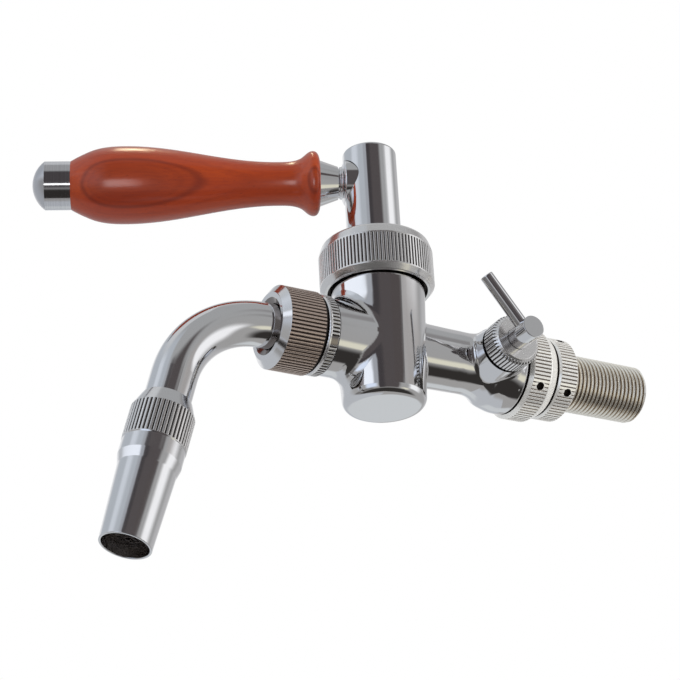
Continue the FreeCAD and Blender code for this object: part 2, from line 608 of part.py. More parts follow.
def handle_socket():
    """Round boss let into the post, with a bead where the ferrule begins."""
    bore = STUD_R + SEATED_GAP
    outside = SOCKET_R - SOCKET_GAP
    return turned([(SOCKET_DEEP, bore), (SOCKET_DEEP, outside), (SOCKET_SHOULDER, outside, 0.9),
                   (SOCKET_END - SOCKET_BEAD / 2, SOCKET_LIP_R, 0.4), (SOCKET_END, SOCKET_LIP_R, 0.6),
                   (SOCKET_END, bore)], HANDLE_ROOT, HANDLE_DIR)


def handle_stud():
    """Screw from the post through the ferrule into the grip."""
    return rod(STUD_R, STUD_START, STUD_END, HANDLE_ROOT, HANDLE_DIR)


def ferrule():
    """Cone between the socket and the grip, with a narrow neck behind the bead."""
    bore = STUD_R + SEATED_GAP
    return turned([(SOCKET_END, bore), (SOCKET_END, NECK_R), (FERRULE_START, NECK_R),
                   (FERRULE_START, FERRULE_SMALL_R, 0.3), (FERRULE_END, FERRULE_LARGE_R),
                   (FERRULE_END, bore)], HANDLE_ROOT, HANDLE_DIR)


def grip():
    """Turned wooden grip: rim, throat, waist, belly and rounded shoulder."""
    face = V(FERRULE_LARGE_R + GRIP_FACE_MARGIN, 0, FERRULE_END)
    curve = Part.BSplineCurve()
    points = [face, V(GRIP_RIM_R, 0, FERRULE_END + GRIP_RIM_AT),
              V(GRIP_THROAT_R, 0, FERRULE_END + GRIP_THROAT_AT),
              V(GRIP_WAIST_R, 0, FERRULE_END + GRIP_WAIST_AT),
              V(GRIP_BELLY_R, 0, FERRULE_END + GRIP_BELLY_AT),
              V(GRIP_SHOULDER_R, 0, FERRULE_END + GRIP_SHOULDER_AT), V(CAP_R, 0, GRIP_END)]
    slopes = [V(1, 0, 0.25), V(0, 0, 1), V(-0.45, 0, 1), V(0, 0, 1), V(0, 0, 1), V(-0.42, 0, 1),
              V(-0.6, 0, 1)]
    curve.interpolate(Points=points, Tangents=slopes, TangentFlags=[True] * len(points))
    bore = STUD_R + SEATED_GAP
    hole = CAP_SPIGOT_R + SEATED_GAP
    floor = GRIP_END - CAP_SPIGOT_LENGTH - SEATED_GAP
    inner = [V(CAP_R, 0, GRIP_END), V(hole, 0, GRIP_END), V(hole, 0, floor), V(0, 0, floor),
             V(0, 0, STUD_END + SEATED_GAP), V(bore, 0, STUD_END + SEATED_GAP), V(bore, 0, FERRULE_END), face]
    edges = [curve.toShape()]
    edges += [Part.LineSegment(a, b).toShape() for a, b in zip(inner, inner[1:])]
    wire = Part.Wire(Part.sortEdges(edges)[0])
    return placed(Part.Face(wire).revolve(ORIGIN, UP, 360), HANDLE_ROOT, HANDLE_DIR)


def end_cap():
    """Domed metal cap with a spigot in the grip's end."""
    dome_r = (CAP_R ** 2 + CAP_RISE ** 2) / (2 * CAP_RISE)
    half = math.asin(CAP_R / dome_r) / 2
    middle = V(dome_r * math.sin(half), 0, CAP_TIP - dome_r + dome_r * math.cos(half))
    foot = GRIP_END - CAP_SPIGOT_LENGTH
    path = [V(0, 0, CAP_TIP), V(0, 0, foot), V(CAP_SPIGOT_R, 0, foot), V(CAP_SPIGOT_R, 0, GRIP_END),
            V(CAP_R, 0, GRIP_END), V(CAP_R, 0, CAP_DOME_AT)]
    edges = [Part.LineSegment(a, b).toShape() for a, b in zip(path, path[1:])]
    edges.append(Part.Arc(path[-1], middle, path[0]).toShape())
    wire = Part.Wire(Part.sortEdges(edges)[0])
    return placed(Part.Face(wire).revolve(ORIGIN, UP, 360), HANDLE_ROOT, HANDLE_DIR)


def outlet_ring():
    """Thin knurled ring that jams against the back of the union nut."""
    start = JAM_RING_START
    end = JAM_RING_END
    bore = OUTLET_THREAD_R + LOOSE_GAP
    outside = OUTLET_THREAD_R + JAM_RING_WALL
    return turned([(start, bore), (start, outside - RING_CHAMFER), (start + RING_CHAMFER, outside),
                   (end - RING_CHAMFER, outside), (end, outside - RING_CHAMFER), (end, bore)],
                  ORIGIN, TO_SPOUT)


def spout_nut():
    """Union nut: knurled skirt, chamfered face and a hollow round the pipe."""
    bore = OUTLET_THREAD_R + LOOSE_GAP
    step = COLLAR_END + LOOSE_GAP
    hole = PIPE_R + LOOSE_GAP
    return turned([(UNION_START, bore), (UNION_START, UNION_R - RING_CHAMFER),
                   (UNION_START + RING_CHAMFER, UNION_R), (UNION_FACE - UNION_CHAMFER_LENGTH, UNION_R),
                   (UNION_FACE, UNION_R - UNION_CHAMFER_RISE, 0.3), (UNION_FACE, PIPE_R + UNION_HOLLOW_WIDTH),
                   (UNION_FACE - UNION_HOLLOW_DEPTH, hole), (step, hole), (step, bore)], ORIGIN, TO_SPOUT)


def pipe_path(start, run_out):
    """Centre line of the spout: straight, bend, straight."""
    centre = V(0, -BEND_START, -BEND_R)
    half = BEND / 2
    middle = centre + V(0, -BEND_R * math.sin(half), BEND_R * math.cos(half))
    return Part.Wire([Part.LineSegment(V(0, -start, 0), V(0, -BEND_START, 0)).toShape(),
                      Part.Arc(V(0, -BEND_START, 0), middle, BEND_END).toShape(),
                      Part.LineSegment(BEND_END, BEND_END + NOZZLE_DIR * run_out).toShape()])


def pipe_solid(radius, start, run_out):
    """Round bar swept along the spout's centre line."""
    section = Part.Wire([Part.makeCircle(radius, V(0, -start, 0), TO_SPOUT)])
    return pipe_path(start, run_out).makePipeShell([section], True, False)


def spout_tube():
    """Bent pipe with its collar and its tail in the outlet neck."""
    tail = turned([(TAIL_START, 0), (TAIL_START, TAIL_R), (OUTLET_END, TAIL_R), (OUTLET_END, COLLAR_R),
                   (COLLAR_END, COLLAR_R), (COLLAR_END, 0)], ORIGIN, TO_SPOUT)
    outside = pipe_solid(PIPE_R, OUTLET_END + COLLAR_LENGTH / 2, PIPE_RUN_OUT).fuse(tail)
    inside = pipe_solid(PIPE_BORE_R, TAIL_START, PIPE_RUN_OUT)
    ring = groove(OUTLET_BORE_R - RUNNING_GAP, TAIL_SEAL_CORD_R, OUTLET_END - TAIL_SEAL_AT, ORIGIN, TO_SPOUT)
    end_ring = groove(NOZZLE_FIT_R - RUNNING_GAP, TAIL_SEAL_CORD_R / 2, NOZZLE_SEAL_AT, BEND_END, NOZZLE_DIR)
    return outside.cut([inside, ring, end_ring])


def nozzle_sleeve():
    """Outer nozzle: coned top, knurled grip, smooth band and tapered tube."""
    bore = NOZZLE_FIT_R
    return turned([(NOZZLE_TOP_AT, bore), (NOZZLE_TOP_AT, bore + NOZZLE_TOP_WALL, 0.2),
                   (NOZZLE_KNURL_AT, NOZZLE_KNURL_R, 0.8), (NOZZLE_BAND_AT, NOZZLE_KNURL_R),
                   (NOZZLE_BAND_AT + NOZZLE_BAND_STEP, NOZZLE_BAND_R), (NOZZLE_TAPER_AT, NOZZLE_BAND_R, 0.5),
                   (NOZZLE_TUBE_AT, bore + NOZZLE_TAPER_WALL, NOZZLE_TAPER_ROUND),
                   (NOZZLE_MOUTH, NOZZLE_MOUTH_R, 0.3),
                   (NOZZLE_MOUTH, NOZZLE_BORE_R, 0.3), (NOZZLE_MOUTH - NOZZLE_LIP_DEPTH, NOZZLE_BORE_R),
                   (PIPE_RUN_OUT + NOZZLE_STOP_GAP, bore)], BEND_END, NOZZLE_DIR)


def screen(station):
    """Disc with rings of round holes, across the nozzle's bore."""
    disc = rod(NOZZLE_BORE_R - SEATED_GAP, station, station + SCREEN_THICKNESS, ORIGIN, UP)
    low = station - OVERSHOOT
    high = station + SCREEN_THICKNESS + OVERSHOOT
    holes = [rod(SCREEN_HOLE_R, low, high)]
    for ring in range(1, SCREEN_RINGS + 1):
        for i in range(6 * ring):
            turn = 2 * math.pi * i / (6 * ring)
            at = V(math.cos(turn), math.sin(turn), 0) * (SCREEN_HOLE_PITCH * ring)
            holes.append(rod(SCREEN_HOLE_R, low, high, at))
    return placed(disc.cut(holes), BEND_END, NOZZLE_DIR)


def gland_nut():
    """Knurled nut with a flat face and a threaded plug in the side boss."""
    start = GLAND_START
    bore = SPINDLE_R + RUNNING_GAP
    plug_r = BOSS_BORE_R - SEATED_GAP
    pocket = SPINDLE_R + 2 * GLAND_SEAL_CORD_R
    floor = GLAND_PLUG_START + 2 * GLAND_SEAL_CORD_R + SEATED_GAP
    return turned([(GLAND_PLUG_START, pocket), (GLAND_PLUG_START, plug_r), (start, plug_r),
                   (start, GLAND_R - RING_CHAMFER), (start + RING_CHAMFER, GLAND_R),
                   (GLAND_END - GLAND_CHAMFER, GLAND_R), (GLAND_END, GLAND_R - GLAND_CHAMFER, 0.2),
                   (GLAND_END, bore), (floor, bore), (floor, pocket)], SPINDLE_ROOT, TO_LEVER)


def gland_seal():
    """Ring round the spindle, in the gland nut's pocket."""
    outside = SPINDLE_R + 2 * GLAND_SEAL_CORD_R - RUNNING_GAP
    return seal(outside, GLAND_SEAL_CORD_R - RUNNING_GAP, GLAND_PLUG_START + GLAND_SEAL_CORD_R,
                SPINDLE_ROOT, TO_LEVER)


def spindle():
    """Shaft with a web and a crank pin that moves the cone."""
    shaft = turned([(WEB_START, 0), (WEB_START, WEB_R), (SPINDLE_END, WEB_R), (SPINDLE_END, SPINDLE_R),
                    (LEVER_START, SPINDLE_R), (LEVER_START, 0)], SPINDLE_ROOT, TO_LEVER)
    pin = rod(CRANK_PIN_R, WEB_START - CRANK_PIN_LENGTH, SPINDLE_END, CRANK_ROOT, TO_LEVER)
    return shaft.fuse(pin).removeSplitter()


def lever_barrel():
    """Cross barrel on the spindle's end, drilled for the lever rod."""
    barrel = turned([(LEVER_START, 0), (LEVER_START, LEVER_BARREL_R), (LEVER_END, LEVER_BARREL_R, 0.25),
                     (LEVER_END, 0)], SPINDLE_ROOT, TO_LEVER)
    hole = rod(LEVER_ROD_R + SEATED_GAP, -LEVER_ROD_START, LEVER_BARREL_R + OVERSHOOT, LEVER_ROOT, LEVER_DIR)
    return barrel.cut(hole)


def lever_rod():
    """Plain rod that the fingers push."""
    start = SEATED_GAP - LEVER_ROD_START
    return turned([(start, 0), (start, LEVER_ROD_R), (LEVER_ROD_REACH, LEVER_ROD_R, 0.4),
                   (LEVER_ROD_REACH, 0)], LEVER_ROOT, LEVER_DIR)


def compensator_cone():
    """Cone with a finned guide at its nose and a slot for the crank pin."""
    crown_end = CONE_START + CONE_CROWN_LENGTH
    cone = turned([(CONE_START, 0), (CONE_START, CONE_CORE_R), (crown_end, CONE_CORE_R),
                   (crown_end, CONE_NECK_R), (CONE_TAPER_START, CONE_NECK_R), (CONE_TAPER_END, CONE_R),
                   (CONE_END, CONE_R), (CONE_END, 0)], ORIGIN, TO_WALL)
    for i in range(CONE_FINS):
        fin = Part.makeBox(CONE_FIN_WIDTH, HOUSING_BORE_R + OVERSHOOT, CONE_CROWN_LENGTH + OVERSHOOT,
                           V(-CONE_FIN_WIDTH / 2, 0, CONE_START))
        fin.rotate(ORIGIN, UP, 90 + 360.0 * i / CONE_FINS)
        fin = fin.common(rod(HOUSING_BORE_R - 2 * RUNNING_GAP, CONE_START, crown_end + OVERSHOOT))
        cone = cone.fuse(placed(fin, ORIGIN, TO_WALL))
    half = CRANK_PIN_R + CRANK_SLOT_GAP
    depth = WEB_START - CRANK_PIN_LENGTH - CRANK_SLOT_GAP
    low = -CRANK_PIN_R
    high = CRANK_THROW + half
    slot = Part.makeBox(CONE_NECK_R, 2 * half, high - low, V(depth, CRANK_ROOT.y - half, low))
    return cone.removeSplitter().cut(slot)


def coupling_nut():
    """Knurled ring with spanner holes; its back web pulls on the shank's flange."""
    bore = HOUSING_THREAD_R + SEATED_GAP
    ring = turned([(COUPLING_START, bore), (COUPLING_START, COUPLING_R - COUPLING_FRONT_STEP, 0.2),
                   (COUPLING_START + COUPLING_FRONT_LAND, COUPLING_R, 0.3),
                   (COUPLING_END - COUPLING_BACK_LAND, COUPLING_R, 1.0),
                   (COUPLING_END, COUPLING_R - COUPLING_BACK_STEP, 0.5), (COUPLING_END, RING_BORE_R),
                   (FLANGE_BACK, RING_BORE_R), (FLANGE_BACK, bore)], ORIGIN, TO_WALL)
    return ring.cut(radial_holes(COUPLING_R, COUPLING_START + COUPLING_HOLE_FROM_START, COUPLING_HOLE_ANGLE))


def shank_seal():
    """Flat washer between the housing and the shank's flange."""
    hole = FLANGE_R - WASHER_WIDTH
    return turned([(HOUSING_THREAD_END, hole), (HOUSING_THREAD_END, FLANGE_R), (WASHER_END, FLANGE_R),
                   (WASHER_END, hole)], ORIGIN, TO_WALL)


def shank():
    """Threaded tube for the wall, at the thread's outside size, with its flange.

    Under the rings it is relieved, so the free thread is a stretch of its own.
    """
    relieved = SHANK_R - SHANK_RELIEF
    return turned([(WASHER_END, SHANK_BORE_R), (WASHER_END, FLANGE_R), (FLANGE_BACK, FLANGE_R),
                   (FLANGE_BACK, relieved), (FREE_THREAD_START, relieved),
                   (FREE_THREAD_START, SHANK_R), (SHANK_END - SHANK_CHAMFER, SHANK_R),
                   (SHANK_END, SHANK_R - SHANK_CHAMFER), (SHANK_END, SHANK_SOCKET_R),
                   (SHANK_END - SHANK_SOCKET_DEPTH, SHANK_SOCKET_R),
                   (SHANK_END - SHANK_SOCKET_DEPTH, SHANK_BORE_R)], ORIGIN, TO_WALL)


def lock_ring():
    """Knurled ring with spanner holes that clamps the wall on the shank."""
    ring = turned([(LOCK_RING_START, RING_BORE_R), (LOCK_RING_START, LOCK_RING_R - LOCK_RING_CHAMFER, 0.2),
                   (LOCK_RING_START + LOCK_RING_CHAMFER, LOCK_RING_R, 0.3),
                   (LOCK_RING_END - LOCK_RING_CHAMFER, LOCK_RING_R, 0.3),
                   (LOCK_RING_END, LOCK_RING_R - LOCK_RING_CHAMFER, 0.2),
                   (LOCK_RING_END, RING_BORE_R)], ORIGIN, TO_WALL)
    station = LOCK_RING_START + LOCK_RING_HOLE_FROM_START
    return ring.cut(radial_holes(LOCK_RING_R, station, LOCK_RING_HOLE_ANGLE))


PIECES = {
    "valve_body": valve_body(),
    "seat_front": seat(TO_SPOUT),
    "seat_rear": seat(TO_WALL),
    "stop_pin": stop_pin(),
    "bonnet_bush": bonnet_bush(),
    "bonnet_nut": bonnet_nut(),
    "spout_tube": spout_tube(),
    "spout_seal": seal(OUTLET_BORE_R - RUNNING_GAP, TAIL_SEAL_CORD_R, OUTLET_END - TAIL_SEAL_AT,
                       ORIGIN, TO_SPOUT),
    "nozzle_seal": seal(NOZZLE_FIT_R - RUNNING_GAP, TAIL_SEAL_CORD_R / 2, NOZZLE_SEAL_AT,
                        BEND_END, NOZZLE_DIR),
    "gland_nut": gland_nut(),
    "gland_seal": gland_seal(),
    "coupling_nut": coupling_nut(),
    "shank": shank(),
    "shank_seal": shank_seal(),
    "ball": ball(),
    "stem": stem(),
    "stem_seal": seal(CHAMBER_R - RUNNING_GAP, SEAL_CORD_R, STEM_SEAL_Z),
    "handle_socket": handle_socket(),
    "handle_stud": handle_stud(),
    "ferrule": ferrule(),
    "grip": grip(),
    "end_cap": end_cap(),
    "spindle": spindle(),
    "lever_barrel": lever_barrel(),
    "lever_rod": lever_rod(),
    "compensator_cone": compensator_cone(),
    "spout_nut": spout_nut(),
    "outlet_ring": outlet_ring(),
    "lock_ring": lock_ring(),
    "nozzle_sleeve": nozzle_sleeve(),
    "screen_top": screen(SCREEN_AT - SCREEN_SPACING),
    "screen_bottom": screen(SCREEN_AT),
}

os.makedirs("parts", exist_ok=True)
for name, shape in PIECES.items():
    shape.translate(V(0, -FREE_THREAD_START, 0))
    shape.exportStep("parts/" + name + ".step")
    box = shape.BoundBox
    print(name, "solids", len(shape.Solids), "valid", shape.isValid(), "volume", round(shape.Volume, 1),
          "box", [round(v, 1) for v in (box.XMin, box.YMin, box.ZMin, box.XMax, box.YMax, box.ZMax)])
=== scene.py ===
"""Side pull beer faucet: the visible model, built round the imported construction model.

Sizes are in millimetres from the valve's centre, where the barrel's upright axis crosses
the flow axis. Meshes are moved to the frame's origin and scaled to metres when finished.
"""

import logging
import math
from abc import ABC, abstractmethod
from dataclasses import dataclass
from enum import Enum
from typing import Callable, Iterable, Sequence, Union

import bmesh
import bpy
from mathutils import Matrix, Vector


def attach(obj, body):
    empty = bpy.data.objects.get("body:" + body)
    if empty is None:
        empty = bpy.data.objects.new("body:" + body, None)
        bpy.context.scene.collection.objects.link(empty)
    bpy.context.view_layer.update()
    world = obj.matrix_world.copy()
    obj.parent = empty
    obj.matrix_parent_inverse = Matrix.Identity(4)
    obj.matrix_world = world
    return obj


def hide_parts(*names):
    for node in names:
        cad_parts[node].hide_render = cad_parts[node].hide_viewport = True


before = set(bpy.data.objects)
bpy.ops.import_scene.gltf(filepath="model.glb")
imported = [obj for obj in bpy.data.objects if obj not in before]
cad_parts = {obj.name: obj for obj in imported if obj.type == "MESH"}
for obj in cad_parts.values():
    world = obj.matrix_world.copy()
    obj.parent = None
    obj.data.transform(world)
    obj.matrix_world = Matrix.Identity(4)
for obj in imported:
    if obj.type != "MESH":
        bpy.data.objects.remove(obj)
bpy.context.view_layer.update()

logging.basicConfig(level=logging.INFO, format="%(message)s")
LOG = logging.getLogger("faucet")

MM = 0.001
# The valve's centre in the frame, whose origin is at the start of the shank's free thread.
VALVE_CENTRE = Vector((0.0, -80.2, 0.0))
# Swing of the handle from the spout's direction, and height of its axis.
HANDLE_TURN = math.radians(24.3)
HANDLE_HEIGHT = 72.9
# Edges with a larger angle stay sharp, on most pieces and on the shank.
SHARP_ANGLE = math.radians(28.0)
THREAD_ANGLE = math.radians(80.0)
# Points closer than this are merged, and stretches shorter than this get no further points.
WELD = 0.002
SHORTEST = 0.02
# Roundings: turn of one step, share of a side that one may take, and reach of its holding points.
ARC_STEP = math.radians(13)
ARC_SHARE = 0.48
ARC_HOLD = 0.12
# Knurls: steps round the axis for each groove, and places of the points along a run-out.
GROOVE_STEPS = 8
RUNOUT_STEPS = (0.0, 0.15, 0.4, 0.7, 1.0, 2.0)

Colour = tuple[float, float, float]
Corner = tuple[float, float] | tuple[float, float, float]
Mesh = bmesh.types.BMesh
Value = Union["Shade", float]
FaceTest = Callable[[float, float, float], bool]
# Places of a piece's further finishes in its list, and slack of the tests that pick their faces.
SECOND, THIRD, FOURTH = 1, 2, 3
SLACK = 0.05


# Shader graphs


def arithmetic(operation: str, swapped: bool = False) -> Callable[["Shade", Value], "Shade"]:
    """Makes an operator method that adds one Math node.

    Args:
        operation: the Math node's operation.
        swapped: whether the other operand comes first.

    Returns:
        The method.
    """
    def method(self: "Shade", other: Value) -> "Shade":
        """Adds the Math node."""
        pair = (other, self) if swapped else (self, other)
        return self.graph.node("ShaderNodeMath", {"operation": operation}, dict(enumerate(pair)))[0]

    return method


class Shade:
    """One output socket, with arithmetic that adds Math nodes to its graph."""

    __add__ = __radd__ = arithmetic("ADD")
    __mul__ = __rmul__ = arithmetic("MULTIPLY")
    __sub__ = arithmetic("SUBTRACT")
    __rsub__ = arithmetic("SUBTRACT", swapped=True)

    def __init__(self, graph: "Graph", socket: bpy.types.NodeSocket) -> None:
        """Keeps the graph and the socket."""
        self.graph = graph
        self.socket = socket

    def math(self, operation: str, *others: Value) -> "Shade":
        """Result of a Math node that starts from this value."""
        return self.graph.node("ShaderNodeMath", {"operation": operation}, dict(enumerate((self, *others))))[0]

    def ramp(self, low: float, high: float) -> "Shade":
        """Smooth rise from 0 at low to 1 at high, or a fall where low is the larger.

        Args:
            low: the value that gives 0.
            high: the value that gives 1.

        Returns:
            The smoothed share.
        """
        first, last = sorted((low, high))
        values = {0: self, 1: first, 2: last, 3: 0.0, 4: 1.0}
        share = self.graph.node("ShaderNodeMapRange", {"interpolation_type": "SMOOTHSTEP"}, values)[0]
        return 1.0 - share if low > high else share


class Outputs:
    """A node's output sockets, by place or by name."""

    def __init__(self, graph: "Graph", node: bpy.types.Node) -> None:
        """Keeps the graph and the node."""
        self.graph = graph
        self.made = node

    def __getitem__(self, key: int | str) -> Shade:
        """The output with that place or name."""
        return Shade(self.graph, self.made.outputs[key])


class Graph:
    """A node tree that is written as expressions."""

    def __init__(self, tree: bpy.types.NodeTree) -> None:
        """Empties the node tree of a material or of the world."""
        self.tree = tree
        tree.nodes.clear()

    def node(self, kind: str, settings: dict | None = None, values: dict | None = None) -> Outputs:
        """Adds one node of any type.

        Args:
            kind: the node's type name.
            settings: the node's own settings, set first.
            values: numbers, colours or links for its inputs, by place or by name.

        Returns:
            The node's outputs.
        """
        made = self.tree.nodes.new(kind)
        for key, value in (settings or {}).items():
            setattr(made, key, value)
        for key, value in (values or {}).items():
            if isinstance(value, Shade):
                self.tree.links.new(value.socket, made.inputs[key])
            else:
                made.inputs[key].default_value = value
        return Outputs(self, made)

    def mix(self, share: Value, first: Shade | Colour, second: Shade | Colour) -> Shade:
        """Mix of two colours, the first at a share of 0 and the second at 1."""
        ends = [end if isinstance(end, Shade) else (*end, 1.0) for end in (first, second)]
        return self.node("ShaderNodeMix", {"data_type": "RGBA"}, {0: share, 6: ends[0], 7: ends[1]})[2]

    def place(self) -> Shade:
        """Object coordinates, in metres."""
        return self.node("ShaderNodeTexCoord")["Object"]

    def groove(self) -> Shade:
        """Depth in a groove or a thread, from 0 on the crest to 1 at the root."""
        return self.node("ShaderNodeAttribute", {"attribute_name": "groove"})["Fac"]

    def along(self, vector: Shade, direction: Sequence[float]) -> Shade:
        """Length of a vector along a direction."""
        return self.node("ShaderNodeVectorMath", {"operation": "DOT_PRODUCT"},
                         {0: vector, 1: tuple(direction)})["Value"]

    def stretched(self, vector: Shade, scale: Sequence[float]) -> Shade:
        """A vector multiplied part by part."""
        return self.node("ShaderNodeVectorMath", {"operation": "MULTIPLY"}, {0: vector, 1: tuple(scale)})[0]

    def measured(self, root: Vector, directions: Iterable[Vector]) -> list[Shade]:
        """Distances of the surface from a root along each direction, in metres."""
        place = self.place()
        return [self.along(place, way) - way.dot(root) for way in directions]

    def noise(self, vector: Shade, scale: float, detail: float = 2.0, rough: float = 0.5) -> Shade:
        """Noise from 0 to 1, with scale features per metre, and finer layers of strength rough."""
        values = {"Vector": vector, "Scale": scale, "Detail": detail, "Roughness": rough}
        return self.node("ShaderNodeTexNoise", {"noise_dimensions": "3D"}, values)[0]

    def bump(self, height: Shade, depth: float, strength: float) -> Shade:
        """Normal bent by a height from 0 to 1, where 1 stands for a depth in metres."""
        return self.node("ShaderNodeBump", None, {"Strength": strength, "Distance": depth, "Height": height})[0]


# Geometry helpers


@dataclass(frozen=True)
class Axis:
    """An axis that leaves a root point, in millimetres from the valve's centre."""

    root: tuple[float, float, float]
    direction: tuple[float, float, float]

    def root_in_frame(self) -> Vector:
        """The root in the frame, in metres."""
        return (Vector(self.root) + VALVE_CENTRE) * MM

    def rotation(self) -> Matrix:
        """Rotation that takes Z to the axis's direction."""
        return Vector((0, 0, 1)).rotation_difference(Vector(self.direction)).to_matrix()

    def sides(self) -> tuple[Vector, Vector, Vector]:
        """The two directions across the axis, and the axis itself."""
        turn = self.rotation()
        return turn.col[0].copy(), turn.col[1].copy(), turn.col[2].copy()

    def matrix(self) -> Matrix:
        """Takes a mesh made on the Z axis in millimetres to its place in the frame, in metres."""
        move = Matrix.Translation(self.root_in_frame())
        return move @ self.rotation().to_4x4() @ Matrix.Scale(MM, 4)


UPRIGHT = Axis((0, 0, 0), (0, 0, 1))
TO_WALL = Axis((0, 0, 0), (0, 1, 0))
TO_SPOUT = Axis((0, 0, 0), (0, -1, 0))


@dataclass(frozen=True)
class Knurl:
    """Straight grooves cut along a turned surface.

    Attributes:
        count: number of grooves.
        start: station where the grooves start.
        end: station where they end.
        depth: depth of a groove.
        runout: length over which a groove rises out at each end.
        beyond: only surfaces of a larger radius than this are cut.
        width: share of the pitch that a groove takes.
        blank: first and last angle of a smooth patch, in degrees.
    """

    count: int
    start: float
    end: float
    depth: float = 0.45
    runout: float = 0.25
    beyond: float = 0.0
    width: float = 0.5
    blank: tuple[float, float] = (0.0, 0.0)

    def mask(self, station: float) -> float:
        """Share of the full depth at a station."""
        share = min(1.0, max(0.0, min(station - self.start, self.end - station) / self.runout))
        return math.sqrt(share * (2.0 - share))

    def groove(self, angle: float) -> float:
        """Share of the full depth at an angle.

        Args:
            angle: the angle round the axis, in radians.

        Returns:
            0 on a crest or in the smooth patch and 1 at a groove's bottom.
        """
        phase = (angle * self.count / math.tau) % 1.0
        smooth = self.blank[0] < math.degrees(angle) % 360.0 < self.blank[1]
        return 0.0 if smooth else max(0.0, 1.0 - abs(2.0 * phase - 1.0) / self.width)

    def stations(self) -> list[float]:
        """Stations where the outline needs points."""
        ahead = [self.start + self.runout * step for step in RUNOUT_STEPS]
        return ahead + [self.end - self.runout * step for step in RUNOUT_STEPS]


def arc_corner(before: Vector, point: Vector, after: Vector, radius: float) -> list[Vector]:
    """Points of the arc that rounds one corner of a flat outline.

    Args:
        before: the outline's point before the corner.
        point: the corner.
        after: the outline's point after it.
        radius: the arc's radius.

    Returns:
        The arc's points with a holding point on each side.
    """
    back = (before - point).normalized()
    ahead = (after - point).normalized()
    half = back.angle(ahead) / 2
    longest = ARC_SHARE * min((before - point).length, (after - point).length)
    reach = min(radius / math.tan(half), longest)
    centre = point + (back + ahead).normalized() * (reach * math.tan(half) / math.sin(half))
    first = point + back * reach
    last = point + ahead * reach
    steps = max(3, round((math.pi - 2 * half) / ARC_STEP))
    start = first - centre
    end = last - centre
    sweep = start.angle(end)
    points = []
    for i in range(steps + 1):
        share = i / steps
        a = math.sin((1 - share) * sweep) / math.sin(sweep)
        b = math.sin(share * sweep) / math.sin(sweep)
        points.append(centre + start * a + end * b)
    if (before - first).length > 3 * ARC_HOLD:
        points.insert(0, first + back * ARC_HOLD)
    if (after - last).length > 3 * ARC_HOLD:
        points.append(last + ahead * ARC_HOLD)
    return points


def outline(corners: Sequence[Corner], closed: bool, stations: Iterable[float] = ()) -> list[Vector]:
    """Outline of a turned piece as points (radius, station).

    Args:
        corners: (station, radius) or (station, radius, rounding) of each corner.
        closed: whether the outline comes back to its start.
        stations: stations at which the long outer stretches get further points.

    Returns:
        The points in order.
    """
    flat = [Vector((c[1], c[0])) for c in corners]
    points: list[Vector] = []
    for i, corner in enumerate(corners):
        if len(corner) > 2:
            points += arc_corner(flat[i - 1], flat[i], flat[(i + 1) % len(flat)], corner[2])
        else:
            points.append(flat[i])
    wanted = sorted(set(round(s, 4) for s in stations))
    full: list[Vector] = []
    for a, b in zip(points, points[1:] + (points[:1] if closed else [])):
        low, high = sorted((a.y, b.y))
        inner = [s for s in wanted if low + SHORTEST < s < high - SHORTEST]
        if b.y < a.y:
            inner.reverse()
        full += [a] + [a.lerp(b, (s - a.y) / (b.y - a.y)) for s in inner]
    return full if closed else full + points[-1:]


def everything(bm: Mesh) -> list:
    """All vertices, edges and faces of a mesh."""
    return [*bm.verts, *bm.edges, *bm.faces]


def spun(points: Sequence[Vector], steps: int, closed: bool, sectors: int = 1, rise: float = 0.0) -> Mesh:
    """Turns an outline about the Z axis.

    Args:
        points: (radius, station) of each point.
        steps: number of steps round the axis, a multiple of the sectors.
        closed: whether the outline is a loop.
        sectors: number of equal sectors; one is turned and then copied round.
        rise: climb along the axis over the whole turn.

    Returns:
        The turned mesh, in millimetres.
    """
    bm = bmesh.new()
    verts = [bm.verts.new((p.x, 0.0, p.y)) for p in points]
    pairs = list(zip(verts, verts[1:]))
    if closed:
        pairs.append((verts[-1], verts[0]))
    edges = [bm.edges.new(pair) for pair in pairs]
    about = {"cent": (0, 0, 0), "axis": (0, 0, 1), "use_merge": False, "use_normal_flip": False}
    bmesh.ops.spin(bm, geom=verts + edges, dvec=(0, 0, rise / steps), angle=math.tau / sectors,
                   steps=steps // sectors, use_duplicate=False, **about)
    if sectors > 1:
        bmesh.ops.spin(bm, geom=everything(bm), dvec=(0, 0, 0), angle=math.tau, steps=sectors,
                       use_duplicate=True, **about)
    bmesh.ops.remove_doubles(bm, verts=bm.verts, dist=WELD)
    bmesh.ops.recalc_face_normals(bm, faces=bm.faces)
    return bm


def turned(corners: Sequence[Corner], knurl: Knurl | None = None, steps: int = 96, closed: bool = True) -> Mesh:
    """Turned piece on the Z axis, with straight knurling where it is asked for.

    Args:
        corners: the outline's corners, as outline() takes them.
        knurl: the knurling.
        steps: steps round the axis, where no knurling sets them.
        closed: whether the outline is a loop, or starts and ends on the axis.

    Returns:
        The mesh, in millimetres.
    """
    if knurl:
        points = outline(corners, closed, knurl.stations())
        bm = spun(points, knurl.count * GROOVE_STEPS, closed, knurl.count)
    else:
        bm = spun(outline(corners, closed), steps, closed)
    # Each cut point keeps its groove depth, by which the knurl finishes paint shade into the grooves.
    layer = bm.verts.layers.float.new("groove")
    for vert in bm.verts if knurl else ():
        x, y, z = vert.co
        radius = math.hypot(x, y)
        if radius > knurl.beyond and knurl.start < z < knurl.end:
            cut = knurl.mask(z) * knurl.groove(math.atan2(y, x))
            if cut > 0:
                left = 1 - knurl.depth * cut / radius
                vert.co = (x * left, y * left, z)
                vert[layer] = cut
    return bm


